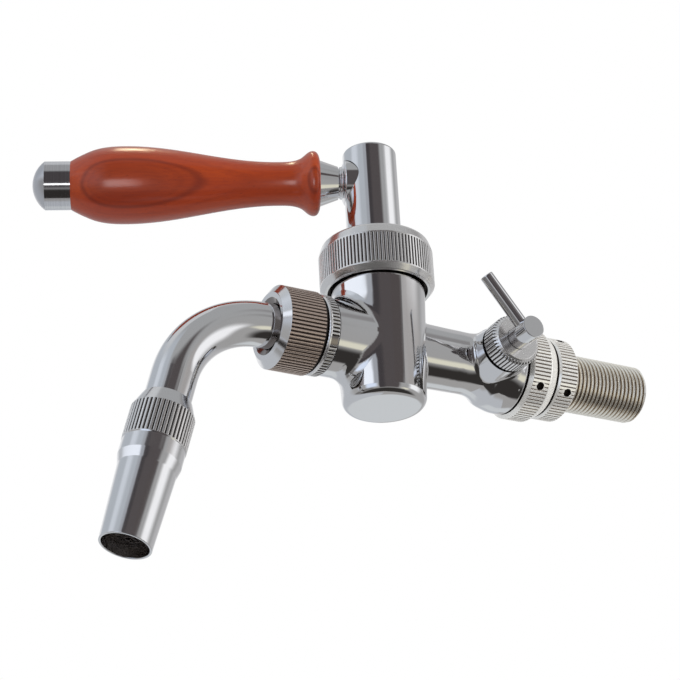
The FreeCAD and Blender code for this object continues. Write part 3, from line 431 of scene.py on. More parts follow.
def painted(bm: Mesh, index: int, test: FaceTest) -> Mesh:
    """Gives the faces that a test picks out another of the piece's finishes.

    Args:
        bm: the mesh on the Z axis.
        index: place of the finish among the piece's finishes.
        test: says from a face's station, radius and angle in degrees whether it is one of them.

    Returns:
        The same mesh.
    """
    for face in bm.faces:
        x, y, z = face.calc_center_median()
        if test(z, math.hypot(x, y), math.degrees(math.atan2(y, x)) % 360.0):
            face.material_index = index
    return bm


def to_object(bm: Mesh, name: str, axis: Axis, sharp: float = SHARP_ANGLE) -> bpy.types.Object:
    """Makes a finished object of a mesh, in its place in the frame.

    Args:
        bm: the mesh on the Z axis, in millimetres; it is freed.
        name: the object's name.
        axis: where it goes.
        sharp: edges with a larger angle stay sharp.

    Returns:
        The object, at the origin and unscaled.
    """
    bm.transform(axis.matrix())
    for face in bm.faces:
        face.smooth = True
    for edge in bm.edges:
        edge.smooth = edge.is_manifold and edge.calc_face_angle(0.0) < sharp
    mesh = bpy.data.meshes.new(name)
    bm.to_mesh(mesh)
    bm.free()
    made = bpy.data.objects.new(name, mesh)
    bpy.context.scene.collection.objects.link(made)
    return made


def joined(meshes: Sequence[Mesh]) -> Mesh:
    """One mesh of several.

    Args:
        meshes: the meshes, which are freed.

    Returns:
        The joined mesh.
    """
    whole = bmesh.new()
    for bm in meshes:
        part = bpy.data.meshes.new("part")
        bm.to_mesh(part)
        bm.free()
        whole.from_mesh(part)
        bpy.data.meshes.remove(part)
    return whole


def cut_away(solid: Mesh, cutter: Mesh) -> Mesh:
    """Cuts one closed mesh away from another.

    Args:
        solid: the mesh that is cut; it is freed.
        cutter: what is cut away; it is freed.

    Returns:
        What is left of the solid.
    """
    identity = Axis(tuple(-VALVE_CENTRE), (0, 0, 1))
    body = to_object(solid, "boolean_body", identity)
    tool = to_object(cutter, "boolean_tool", identity)
    modifier = body.modifiers.new("cut", "BOOLEAN")
    modifier.operation = "DIFFERENCE"
    modifier.solver = "EXACT"
    modifier.object = tool
    bpy.context.view_layer.update()
    result = bmesh.new()
    result.from_object(body, bpy.context.evaluated_depsgraph_get())
    result.transform(identity.matrix().inverted())
    for spare in (body, tool):
        mesh = spare.data
        bpy.data.objects.remove(spare)
        bpy.data.meshes.remove(mesh)
    return result


# Finishes


def scaled(colour: Colour, share: float) -> Colour:
    """A colour made darker or lighter."""
    return tuple(share * part for part in colour)


@dataclass(frozen=True)
class Finish(ABC):
    """A surface finish, made once and shared by the pieces that have it."""

    name: str

    @abstractmethod
    def shade(self, graph: Graph) -> dict:
        """Describes the surface.

        Args:
            graph: the material's graph.

        Returns:
            Values and links for the surface shader's sockets.
        """

    def material(self) -> bpy.types.Material:
        """Makes the finish's material.

        Returns:
            The material.
        """
        made = bpy.data.materials.new(self.name)
        made.use_nodes = True
        graph = Graph(made.node_tree)
        surface = graph.node("ShaderNodeBsdfPrincipled", None, self.shade(graph))
        graph.node("ShaderNodeOutputMaterial", None, {"Surface": surface[0]})
        return made


@dataclass(frozen=True)
class PolishedMetal(Finish):
    """Mirror-polished plating with a faint waviness, fine wipe marks and smudges."""

    colour: Colour = (0.80, 0.795, 0.80)
    roughness: float = 0.045
    waviness: float = 0.00001

    def shade(self, graph: Graph) -> dict:
        """Mirror metal whose roughness wanders a little.

        Args:
            graph: the material's graph.

        Returns:
            Values and links for the surface shader's sockets.
        """
        place = graph.place()
        smudge = graph.noise(place, 55.0, 3.0).ramp(0.42, 0.72)
        wipe = graph.noise(graph.stretched(place, (1.0, 1.0, 0.15)), 2600.0, 2.0)
        wave = graph.noise(place, 120.0, 1.0)
        rough = self.roughness + 0.035 * smudge + 0.02 * wipe
        tint = graph.mix(smudge * 0.35, self.colour, scaled(self.colour, 0.94))
        return {"Base Color": tint, "Metallic": 1.0, "Roughness": rough,
                "Normal": graph.bump(wave, self.waviness, 0.5)}


@dataclass(frozen=True)
class KnurledMetal(Finish):
    """Plated knurling: satin crests, and rougher grooves darkened brown by painted shade."""

    crest: Colour = (0.80, 0.785, 0.775)
    # The groove_shade colour is painted shade at a groove's bottom.
    groove_shade: Colour = (0.05, 0.038, 0.032)
    metallic: float = 0.9
    roughness: float = 0.14

    def shade(self, graph: Graph) -> dict:
        """Metal with painted shade that darkens it with the depth of the groove.

        Args:
            graph: the material's graph.

        Returns:
            Values and links for the surface shader's sockets.
        """
        patchiness = graph.noise(graph.place(), 700.0, 3.0)
        # Painted shade: the groove's depth darkens the colour, a little unevenly.
        share = graph.groove().ramp(0.0, 0.5) * (0.85 + 0.25 * patchiness).math("MINIMUM", 1.0)
        rough = self.roughness + 0.25 * share + 0.05 * patchiness
        return {"Base Color": graph.mix(share, self.crest, self.groove_shade), "Metallic": self.metallic,
                "Roughness": rough}


@dataclass(frozen=True)
class ShadowedMetal(Finish):
    """Painted shadow: dark, dull metal for faces deep in a gap or a hole."""

    # The colour is painted shadow.
    colour: Colour = (0.034, 0.026, 0.022)

    def shade(self, graph: Graph) -> dict:
        """Dark painted shadow, lighter in random patches.

        Args:
            graph: the material's graph.

        Returns:
            Values and links for the surface shader's sockets.
        """
        patchiness = graph.noise(graph.place(), 900.0, 3.0)
        tint = graph.mix(patchiness.ramp(0.4, 0.8), self.colour, scaled(self.colour, 1.8))
        return {"Base Color": tint, "Metallic": 0.6, "Roughness": 0.4 + 0.2 * patchiness}


@dataclass(frozen=True)
class ThreadMetal(Finish):
    """Cut thread of a warm metal, with painted shade that darkens and browns its roots."""

    crest: Colour = (1.0, 0.95, 0.84)
    # The root colour is painted shade deep in the thread.
    root: Colour = (0.20, 0.115, 0.055)

    def shade(self, graph: Graph) -> dict:
        """Metal with painted shade that darkens it towards the thread's root, and fine tool marks.

        Args:
            graph: the material's graph.

        Returns:
            Values and links for the surface shader's sockets.
        """
        marks = graph.noise(graph.stretched(graph.place(), (0.2, 1.0, 0.2)), 9000.0, 1.0)
        share = graph.groove().ramp(0.2, 0.95)
        return {"Base Color": graph.mix(share, self.crest, self.root), "Metallic": 0.92,
                "Roughness": 0.13 + 0.1 * marks + 0.1 * share,
                "Normal": graph.bump(marks, 0.000006, 0.5)}


@dataclass(frozen=True)
class TurnedMetal(Finish):
    """Metal with fine rings from the lathe or from brushing about its axis."""

    axis: Axis = UPRIGHT
    colour: Colour = (0.74, 0.74, 0.75)
    roughness: float = 0.2
    ring_scale: float = 6000.0

    def shade(self, graph: Graph) -> dict:
        """Metal with ring marks that follow the distance along and from the axis.

        Args:
            graph: the material's graph.

        Returns:
            Values and links for the surface shader's sockets.
        """
        x, y, along = graph.measured(self.axis.root_in_frame(), self.axis.sides())
        radius = (x * x + y * y).math("SQRT")
        reach = graph.node("ShaderNodeCombineXYZ", None, {0: radius, 1: along})[0]
        rings = graph.noise(reach, self.ring_scale, 2.0, 0.6)
        tint = graph.mix(rings.ramp(0.35, 0.7), scaled(self.colour, 0.86), self.colour)
        return {"Base Color": tint, "Metallic": 1.0,
                "Roughness": self.roughness + 0.14 * (rings - 0.5), "Normal": graph.bump(rings, 0.000008, 0.6)}


@dataclass(frozen=True)
class DomedMetal(TurnedMetal):
    """Turned metal that is polished round its side and satin on its domed end."""

    # Where the dome starts along the axis, in metres.
    dome_at: float = 0.1284
    dome_edge: float = 0.0001
    dome_roughness: float = 0.3
    dome_colour: Colour = (0.58, 0.58, 0.60)

    def shade(self, graph: Graph) -> dict:
        """The turned metal, with a satin, slightly darker dome beyond a place along the axis.

        Args:
            graph: the material's graph.

        Returns:
            Values and links for the surface shader's sockets.
        """
        inputs = super().shade(graph)
        along, = graph.measured(self.axis.root_in_frame(), self.axis.sides()[2:])
        dome = along.ramp(self.dome_at - self.dome_edge, self.dome_at + self.dome_edge)
        inputs["Base Color"] = graph.mix(dome, inputs["Base Color"], self.dome_colour)
        inputs["Roughness"] = inputs["Roughness"] + (self.dome_roughness - self.roughness) * dome
        return inputs


@dataclass(frozen=True)
class LacqueredWood(Finish):
    """Reddish turned wood under gloss lacquer, with nested grain loops on the belly."""

    axis: Axis = UPRIGHT
    towards: tuple[float, float, float] = (0.0, 0.0, 1.0)
    grain_stretch: float = 0.16
    # Late wood as soft dark lines: millimetres towards the eye, strength. It is strong and wide once
    # on the belly, and faint and nested inside and behind it.
    belly_ring: tuple[float, float] = (12.1, 0.55)
    belly_half: float = 0.45
    ring_half: float = 0.4
    rings: tuple[tuple[float, float], ...] = ((13.2, 0.36), (14.1, 0.34), (14.8, 0.28), (9.2, 0.12), (5.0, 0.16),
                                              (0.6, 0.14), (-4.5, 0.35), (-9.0, 0.3))

    def shade(self, graph: Graph) -> dict:
        """Growth rings as nearly flat layers, fine fibres and short pores.

        Args:
            graph: the material's graph.

        Returns:
            Values and links for the surface shader's sockets.
        """
        length = Vector(self.axis.direction).normalized()
        out = Vector(self.towards).normalized()
        side = length.cross(out).normalized()
        along, depth, across = graph.measured(self.axis.root_in_frame(), (length, out, side))
        parts = {0: along * self.grain_stretch, 1: depth, 2: across}
        grain = graph.node("ShaderNodeCombineXYZ", None, parts)[0]
        drift = graph.noise(grain, 90.0, 2.0) - 0.5
        ring = (depth + 0.0016 * drift) * 1000.0
        level, strength = self.belly_ring
        late = self.line(ring, level, self.belly_half) * strength
        for level, strength in self.rings:
            late = late + self.line(ring, level, self.ring_half) * strength
        fibre = graph.noise(graph.stretched(grain, (0.35, 1.0, 1.0)), 1500.0, 3.0, 0.6)
        pores = graph.noise(graph.stretched(grain, (0.8, 1.0, 1.0)), 3400.0, 1.0).ramp(0.64, 0.76)
        cloud = graph.noise(grain, 60.0, 2.0)
        base = graph.mix(cloud.ramp(0.3, 0.7), (0.262, 0.026, 0.0030), (0.335, 0.043, 0.0048))
        base = graph.mix(fibre.ramp(0.35, 0.75) * 0.4, base, (0.205, 0.020, 0.006))
        base = graph.mix(late, base, (0.095, 0.009, 0.004))
        base = graph.mix(pores * 0.4, base, (0.09, 0.011, 0.005))
        return {"Base Color": base, "Roughness": 0.42 + 0.12 * fibre, "Specular IOR Level": 0.12,
                "Coat Weight": 0.6, "Coat Roughness": 0.2, "Coat IOR": 1.6,
                "Normal": graph.bump(fibre, 0.00003, 0.12)}

    @staticmethod
    def line(ring: Shade, level: float, half: float) -> Shade:
        """Soft line of a half width where the growth value passes a level."""
        return (ring - level).math("ABSOLUTE").ramp(2.0 * half, 0.0)


@dataclass(frozen=True)
class Plastic(Finish):
    """Plain moulded or turned plastic with a faint mottle."""

    colour: Colour = (0.8, 0.8, 0.78)
    roughness: float = 0.4

    def shade(self, graph: Graph) -> dict:
        """Plastic with slight unevenness.

        Args:
            graph: the material's graph.

        Returns:
            Values and links for the surface shader's sockets.
        """
        mottle = graph.noise(graph.place(), 900.0, 3.0)
        return {"Base Color": graph.mix(mottle, scaled(self.colour, 0.88), self.colour),
                "Roughness": self.roughness + 0.1 * mottle, "Normal": graph.bump(mottle, 0.00001, 0.3)}


class Finishes:
    """Every finish of the faucet."""

    def __init__(self, handle: Axis, towards: Vector) -> None:
        """Makes the finishes.

        Args:
            handle: the handle's axis, which the wood grain and the cap's rings follow.
            towards: the side of the grip on which the grain shows its loops.
        """
        self.chrome = PolishedMetal("mirror_plating").material()
        self.knurled = KnurledMetal("knurled_plating").material()
        # A darker, browner copy of the knurled plating: partly the warm tone of the knurling, partly painted shade.
        self.warm_shaded_knurled = KnurledMetal("brown_shaded_knurling", crest=(0.58, 0.465, 0.40), groove_shade=(0.04, 0.024, 0.018),
                                         metallic=0.85, roughness=0.2).material()
        # A lighter copy of the knurled plating, with paler grooves: painted light on the coupling nut and lock
        # ring.
        self.lit_knurled = KnurledMetal("painted_light_knurling", crest=(1.0, 0.975, 0.92), groove_shade=(0.20, 0.15, 0.11),
                                           metallic=0.62, roughness=0.2).material()
        self.satin = PolishedMetal("satin_plating", roughness=0.11).material()
        # Darker plating: painted shade in the union nut's hollow, and the dull smooth patch of the jam ring.
        self.dim = PolishedMetal("dim_and_shaded_plating", colour=(0.26, 0.235, 0.225), roughness=0.12).material()
        self.shadowed = ShadowedMetal("shadowed_metal").material()
        self.thread = ThreadMetal("cut_thread").material()
        self.cap = DomedMetal("turned_cap", axis=handle, colour=(0.74, 0.74, 0.76), roughness=0.12).material()
        self.steel = TurnedMetal("turned_steel", colour=(0.6, 0.6, 0.6), roughness=0.3).material()
        self.mesh = TurnedMetal("screen_wire", colour=(0.22, 0.19, 0.17), roughness=0.4).material()
        self.wood = LacqueredWood("lacquered_wood", axis=handle, towards=tuple(towards)).material()
        self.bearing = Plastic("bearing_plastic", colour=(0.82, 0.81, 0.78), roughness=0.38).material()
        self.cone = Plastic("white_plastic", colour=(0.72, 0.72, 0.70), roughness=0.25).material()
        self.rubber = Plastic("black_rubber", colour=(0.025, 0.025, 0.025), roughness=0.55).material()


# Sub-assemblies


@dataclass
class SubAssembly(ABC):
    """A group of pieces that belong together."""

    finishes: Finishes

    @abstractmethod
    def build(self) -> None:
        """Makes and dresses the pieces."""

    def add(self, bm: Mesh, name: str, axis: Axis, body: str,
            finishes: Sequence[bpy.types.Material], slot: str, nodes: Sequence[str],
            sharp: float = SHARP_ANGLE) -> None:
        """Finishes one piece, puts it on its body and hides the construction nodes that it stands for.

        Args:
            bm: the piece's mesh on the Z axis, in millimetres.
            name: the piece's name.
            axis: where it goes.
            body: the body that it rides.
            finishes: its finishes, in the order of the faces' material places.
            slot: its material slot in the record; not used.
            nodes: the construction nodes that it stands for.
            sharp: edges with a larger angle stay sharp.
        """
        piece = to_object(bm, name, axis, sharp)
        for finish in finishes:
            piece.data.materials.append(finish)
        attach(piece, body)
        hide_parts(*nodes)
        LOG.info("%s: %d faces on body %s", name, len(piece.data.polygons), body)

    def dress(self, finish: bpy.types.Material, *nodes: str) -> None:
        """Gives construction nodes that stay as they are a finish.

        Args:
            finish: the finish.
            nodes: the nodes' names.
        """
        for name in nodes:
            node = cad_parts[name]
            for place in node.material_slots:
                place.material = finish
            LOG.info("%s: construction node in %s", name, finish.name)


@dataclass
class Valve(SubAssembly):
    """The casting, its ball and seats, and the bonnet with its bush."""

    knurl_count: int = 96
    bottom: float = 23.5
    knurl_low: float = 26.2
    knurl_high: float = 38.9
    top: float = 43.9
    radius: float = 22.3
    rim: float = 20.6
    mouth: float = 19.5
    crown: float = 19.0
    crown_round: float = 2.2
    thread: float = 17.62
    hole: float = 11.0
    web_from: float = 40.1
    step: float = 25.3

    def bonnet(self) -> Mesh:
        """Knurled nut with a smooth land below and a rounded crown above.

        Returns:
            The mesh.
        """
        corners = [(self.bottom, self.mouth), (self.bottom, self.rim, 0.35),
                   (self.knurl_low - 0.6, self.radius, 0.4), (self.knurl_high + 0.2, self.radius, 1.2),
                   (self.top - 1.0, self.crown + self.crown_round, 2.4), (self.top, self.crown, 0.9),
                   (self.top, self.hole, 0.3), (self.web_from, self.hole), (self.web_from, self.thread),
                   (self.step, self.thread), (self.step, self.mouth)]
        knurl = Knurl(self.knurl_count, self.knurl_low - 0.1, self.knurl_high - 0.4, 0.42, 0.25, self.crown)
        # Faces inside the mouth, below the web, get painted shade.
        inside, web = self.mouth + SLACK, self.web_from + 2 * SLACK
        return painted(turned(corners, knurl), SECOND, lambda z, r, a: r < inside and z < web)

    def build(self) -> None:
        """Bonnet nut as a new piece; the rest keeps its construction solid."""
        self.add(self.bonnet(), "bonnet_knurled_nut", UPRIGHT, "faucet",
                 [self.finishes.knurled, self.finishes.shadowed], "knurled_chrome", ["bonnet_nut"])
        self.dress(self.finishes.chrome, "valve_body", "stem")
        self.dress(self.finishes.bearing, "seat_front", "seat_rear", "bonnet_bush")
        self.dress(self.finishes.steel, "ball", "stop_pin")
        self.dress(self.finishes.rubber, "stem_seal")


@dataclass
class Handle(SubAssembly):
    """Socket boss, ferrule, wooden grip and end cap."""

    def build(self) -> None:
        """The handle keeps its construction solids."""
        self.dress(self.finishes.chrome, "handle_socket", "ferrule")
        self.dress(self.finishes.steel, "handle_stud")
        self.dress(self.finishes.wood, "grip")
        self.dress(self.finishes.cap, "end_cap")


@dataclass
class Outlet(SubAssembly):
    """Jam ring, union nut and spout pipe."""

    knurl_count: int = 68
    ring_start: float = 25.5
    ring_width: float = 4.6
    ring_radius: float = 15.5
    ring_land: float = 1.25
    ring_patch: tuple[float, float] = (322.0, 334.0)
    bore: float = 12.9
    union_start: float = 31.1
    union_radius: float = 16.05
    union_knurl_end: float = 46.1
    union_face: float = 48.4
    union_face_radius: float = 13.0
    hollow: float = 11.2
    hollow_depth: float = 1.4
    pipe_hole: float = 8.9
    web_from: float = 44.3
    chamfer: float = 0.5

    def jam_ring(self) -> Mesh:
        """Thin ring, knurled at the back with one smooth patch, and a bright land in front.

        Returns:
            The mesh.
        """
        start, end = self.ring_start, self.ring_start + self.ring_width
        corners = [(start, self.bore), (start, self.ring_radius - self.chamfer, 0.12),
                   (start + self.chamfer, self.ring_radius, 0.12), (end - self.chamfer, self.ring_radius, 0.3),
                   (end, self.ring_radius - self.chamfer, 0.12), (end, self.bore)]
        knurl = Knurl(self.knurl_count - 2, start + 0.1, end - self.ring_land, 0.4, 0.2, self.bore + 0.5,
                      width=0.62, blank=self.ring_patch)
        ring = turned(corners, knurl)
        low, high = self.ring_patch
        painted(ring, THIRD, lambda z, r, a: low < a < high and start + 0.1 < z < end - self.ring_land
                and r > self.bore + 1)
        # The front face, in the gap to the union nut, and the bore get painted shade.
        return painted(ring, SECOND, lambda z, r, a: z > end - 0.06 or r < self.bore + SLACK)

    def union_nut(self) -> Mesh:
        """Knurled skirt, bright chamfer and a hollow face round the pipe.

        Returns:
            The mesh.
        """
        start = self.union_start
        corners = [(start, self.bore), (start, self.union_radius - self.chamfer, 0.12),
                   (start + self.chamfer, self.union_radius, 0.12),
                   (self.union_knurl_end, self.union_radius, 0.15),
                   (self.union_face, self.union_face_radius, 0.35), (self.union_face, self.hollow, 0.2),
                   (self.union_face - self.hollow_depth, self.pipe_hole), (self.web_from, self.pipe_hole),
                   (self.web_from, self.bore)]
        knurled_from, knurled_to = start + 0.1, self.union_knurl_end - 0.05
        knurl = Knurl(self.knurl_count, knurled_from, knurled_to, 0.42, 0.2, self.bore + 0.6, width=0.56)
        nut = turned(corners, knurl)
        # The knurled skirt gets the darker, browner knurling, which is partly painted shade.
        painted(nut, SECOND, lambda z, r, a: knurled_from < z < knurled_to and r > self.bore + 2.0)
        # The back face and chamfer, in the gap to the jam ring, get painted shadow.
        painted(nut, THIRD, lambda z, r, a: z < start + 1.0)
        # The hollow round the pipe gets the darker plating as painted shade.
        return painted(nut, FOURTH, lambda z, r, a: r < self.hollow and z < self.union_face - 2 * SLACK)

    def build(self) -> None:
        """Rings as new pieces; the pipe keeps its construction solid."""
        finishes = self.finishes
        self.add(self.jam_ring(), "outlet_jam_ring", TO_SPOUT, "jam_ring",
                 [finishes.knurled, finishes.shadowed, finishes.dim], "knurled_chrome", ["outlet_ring"])
        self.add(self.union_nut(), "spout_union_nut", TO_SPOUT, "union",
                 [finishes.satin, finishes.warm_shaded_knurled, finishes.shadowed, finishes.dim],
                 "knurled_chrome", ["spout_nut"])
        self.dress(self.finishes.chrome, "spout_tube")
        self.dress(self.finishes.rubber, "spout_seal", "nozzle_seal")


class Weave(Enum):
    """The two sets of wires in a woven screen."""

    ALONG = 0
    ACROSS = 1


@dataclass
class Nozzle(SubAssembly):
    """Sleeve on the pipe's end, with a woven screen in its mouth."""

    bend_start: float = 50.1
    bend_radius: float = 38.0
    bend_degrees: float = 74.1
    knurl_count: int = 46
    fit: float = 8.9
    top: float = 10.7
    knurl_at: float = 16.7
    band_at: float = 30.0
    taper_at: float = 36.3
    tube_at: float = 40.2
    mouth: float = 69.9
    knurl_radius: float = 11.8
    band_radius: float = 11.55
    tube_radius: float = 10.6
    mouth_radius: float = 9.45
    bore: float = 8.55
    lip: float = 62.9
    stop: float = 28.0
    wire: float = 0.2
    wire_pitch: float = 1.15
    wire_sides: int = 6
    # Distances of the two screens above the lip that holds them.
    mouth_screen: float = 0.4
    upper_screen: float = 3.0

    def axis(self) -> Axis:
        """The nozzle's axis, from the end of the pipe's bend.

        Returns:
            The axis.
        """
        bend = math.radians(self.bend_degrees)
        root = (0.0, -self.bend_start - self.bend_radius * math.sin(bend),
                -self.bend_radius * (1 - math.cos(bend)))
        return Axis(root, (0.0, -math.cos(bend), -math.sin(bend)))

    def sleeve(self) -> Mesh:
        """Coned top, knurled grip, smooth band, short taper and a slim tube.

        Returns:
            The mesh.
        """
        corners = [(self.top, self.fit), (self.top, self.fit + 0.4, 0.2), (self.knurl_at, self.knurl_radius, 0.4),
                   (self.band_at, self.knurl_radius, 0.3), (self.band_at + 0.5, self.band_radius, 0.2),
                   (self.taper_at, self.band_radius, 0.5), (self.tube_at, self.tube_radius, 2.0),
                   (self.mouth, self.mouth_radius, 0.3), (self.mouth, self.bore, 0.3), (self.lip, self.bore),
                   (self.stop, self.fit)]
        knurl = Knurl(self.knurl_count, self.knurl_at, self.band_at - 0.1, 0.5, 0.25, self.band_radius - 1.5)
        return painted(turned(corners, knurl), SECOND, lambda z, r, a: not self.knurl_at < z < self.band_at)

    def screen(self, station: float) -> Mesh:
        """Woven wire disc: two sets of wavy wires clipped to the bore.

        Args:
            station: where the disc lies along the nozzle.

        Returns:
            The mesh.
        """
        wires = []
        reach = self.bore - 0.05
        count = int(reach / self.wire_pitch)
        for way in Weave:
            for i in range(-count, count + 1):
                across = i * self.wire_pitch
                half = math.sqrt(reach ** 2 - across ** 2) - self.wire
                if half > self.wire_pitch:
                    wires.append(self.woven_wire(across, half, way, i % 2, station))
        return joined(wires)

    def woven_wire(self, across: float, half: float, way: Weave, odd: int, station: float) -> Mesh:
        """One wavy wire of the screen.

        Args:
            across: distance of the wire from the disc's middle.
            half: half its length.
            way: the set that it belongs to.
            odd: 1 where the wave is turned over.
            station: where the disc lies.

        Returns:
            The wire's mesh.
        """
        bm = bmesh.new()
        ring = bmesh.ops.create_circle(bm, cap_ends=False, radius=self.wire, segments=self.wire_sides)["verts"]
        bmesh.ops.rotate(bm, verts=ring, cent=(0, 0, 0), matrix=Matrix.Rotation(math.pi / 2, 3, "Y"))
        bmesh.ops.translate(bm, verts=ring, vec=(-half, across, 0))
        steps = max(4, round(4 * half / self.wire_pitch))
        edges = list(bm.edges)
        for _ in range(steps):
            made = bmesh.ops.extrude_edge_only(bm, edges=edges)["geom"]
            fresh = [g for g in made if isinstance(g, bmesh.types.BMVert)]
            edges = [g for g in made if isinstance(g, bmesh.types.BMEdge)]
            bmesh.ops.translate(bm, verts=fresh, vec=(2 * half / steps, 0, 0))
        bmesh.ops.holes_fill(bm, edges=[e for e in bm.edges if e.is_boundary], sides=0)
        sign = 1.0 if (odd + way.value) % 2 else -1.0
        for vert in bm.verts:
            wave = math.cos(math.pi * vert.co.x / self.wire_pitch)
            vert.co.z += sign * self.wire * wave + station
        if way is Weave.ACROSS:
            bmesh.ops.rotate(bm, verts=bm.verts, cent=(0, 0, 0), matrix=Matrix.Rotation(math.pi / 2, 3, "Z"))
        bmesh.ops.recalc_face_normals(bm, faces=bm.faces)
        return bm

    def build(self) -> None:
        """Sleeve and both screens."""
        axis = self.axis()
        self.add(self.sleeve(), "nozzle_knurled_sleeve", axis, "nozzle",
                 [self.finishes.knurled, self.finishes.satin], "knurled_chrome", ["nozzle_sleeve"])
        for name, depth, node in (("mouth_screen", self.mouth_screen, "screen_bottom"),
                                  ("upper_screen", self.upper_screen, "screen_top")):
            self.add(self.screen(self.lip - depth), name, axis, "nozzle", [self.finishes.mesh],
                     "mesh_metal", [node])


@dataclass
class FlowControl(SubAssembly):
    """Gland nut on the side boss, lever, spindle and cone."""

    spindle_y: float = 44.7
    start: float = 18.9
    end: float = 27.2
    radius: float = 10.3
    rim_chamfer: float = 1.7
    plug_radius: float = 6.98
    plug_start: float = 10.6
    bore: float = 3.05
    knurl_count: int = 44

    def gland(self) -> Mesh:
        """Knurled nut with a chamfer and a flat mirror face, and its plug in the boss.

        Returns:
            The mesh.
        """
        corners = [(self.plug_start, self.bore), (self.plug_start, self.plug_radius, 0.2),
                   (self.start, self.plug_radius), (self.start, self.radius - 0.5, 0.15),
                   (self.start + 0.5, self.radius, 0.15), (self.end - self.rim_chamfer, self.radius, 0.25),
                   (self.end, self.radius - self.rim_chamfer, 0.25), (self.end, self.bore)]
        knurl = Knurl(self.knurl_count, self.start + 0.3, self.end - self.rim_chamfer + 0.7, 0.45, 0.4,
                      self.plug_radius + 1.0)
        # The back face, in the gap against the boss, gets painted shade.
        return painted(turned(corners, knurl), SECOND, lambda z, r, a: z < self.start + SLACK)

    def build(self) -> None:
        """Gland nut as a new piece; the lever keeps its construction solids."""
        axis = Axis((0.0, self.spindle_y, 0.0), (1.0, 0.0, 0.0))
        self.add(self.gland(), "gland_knurled_nut", axis, "faucet",
                 [self.finishes.knurled, self.finishes.shadowed], "knurled_chrome", ["gland_nut"])
        self.dress(self.finishes.chrome, "lever_barrel", "lever_rod")
        self.dress(self.finishes.steel, "spindle")
        self.dress(self.finishes.cone, "compensator_cone")
        self.dress(self.finishes.rubber, "gland_seal")


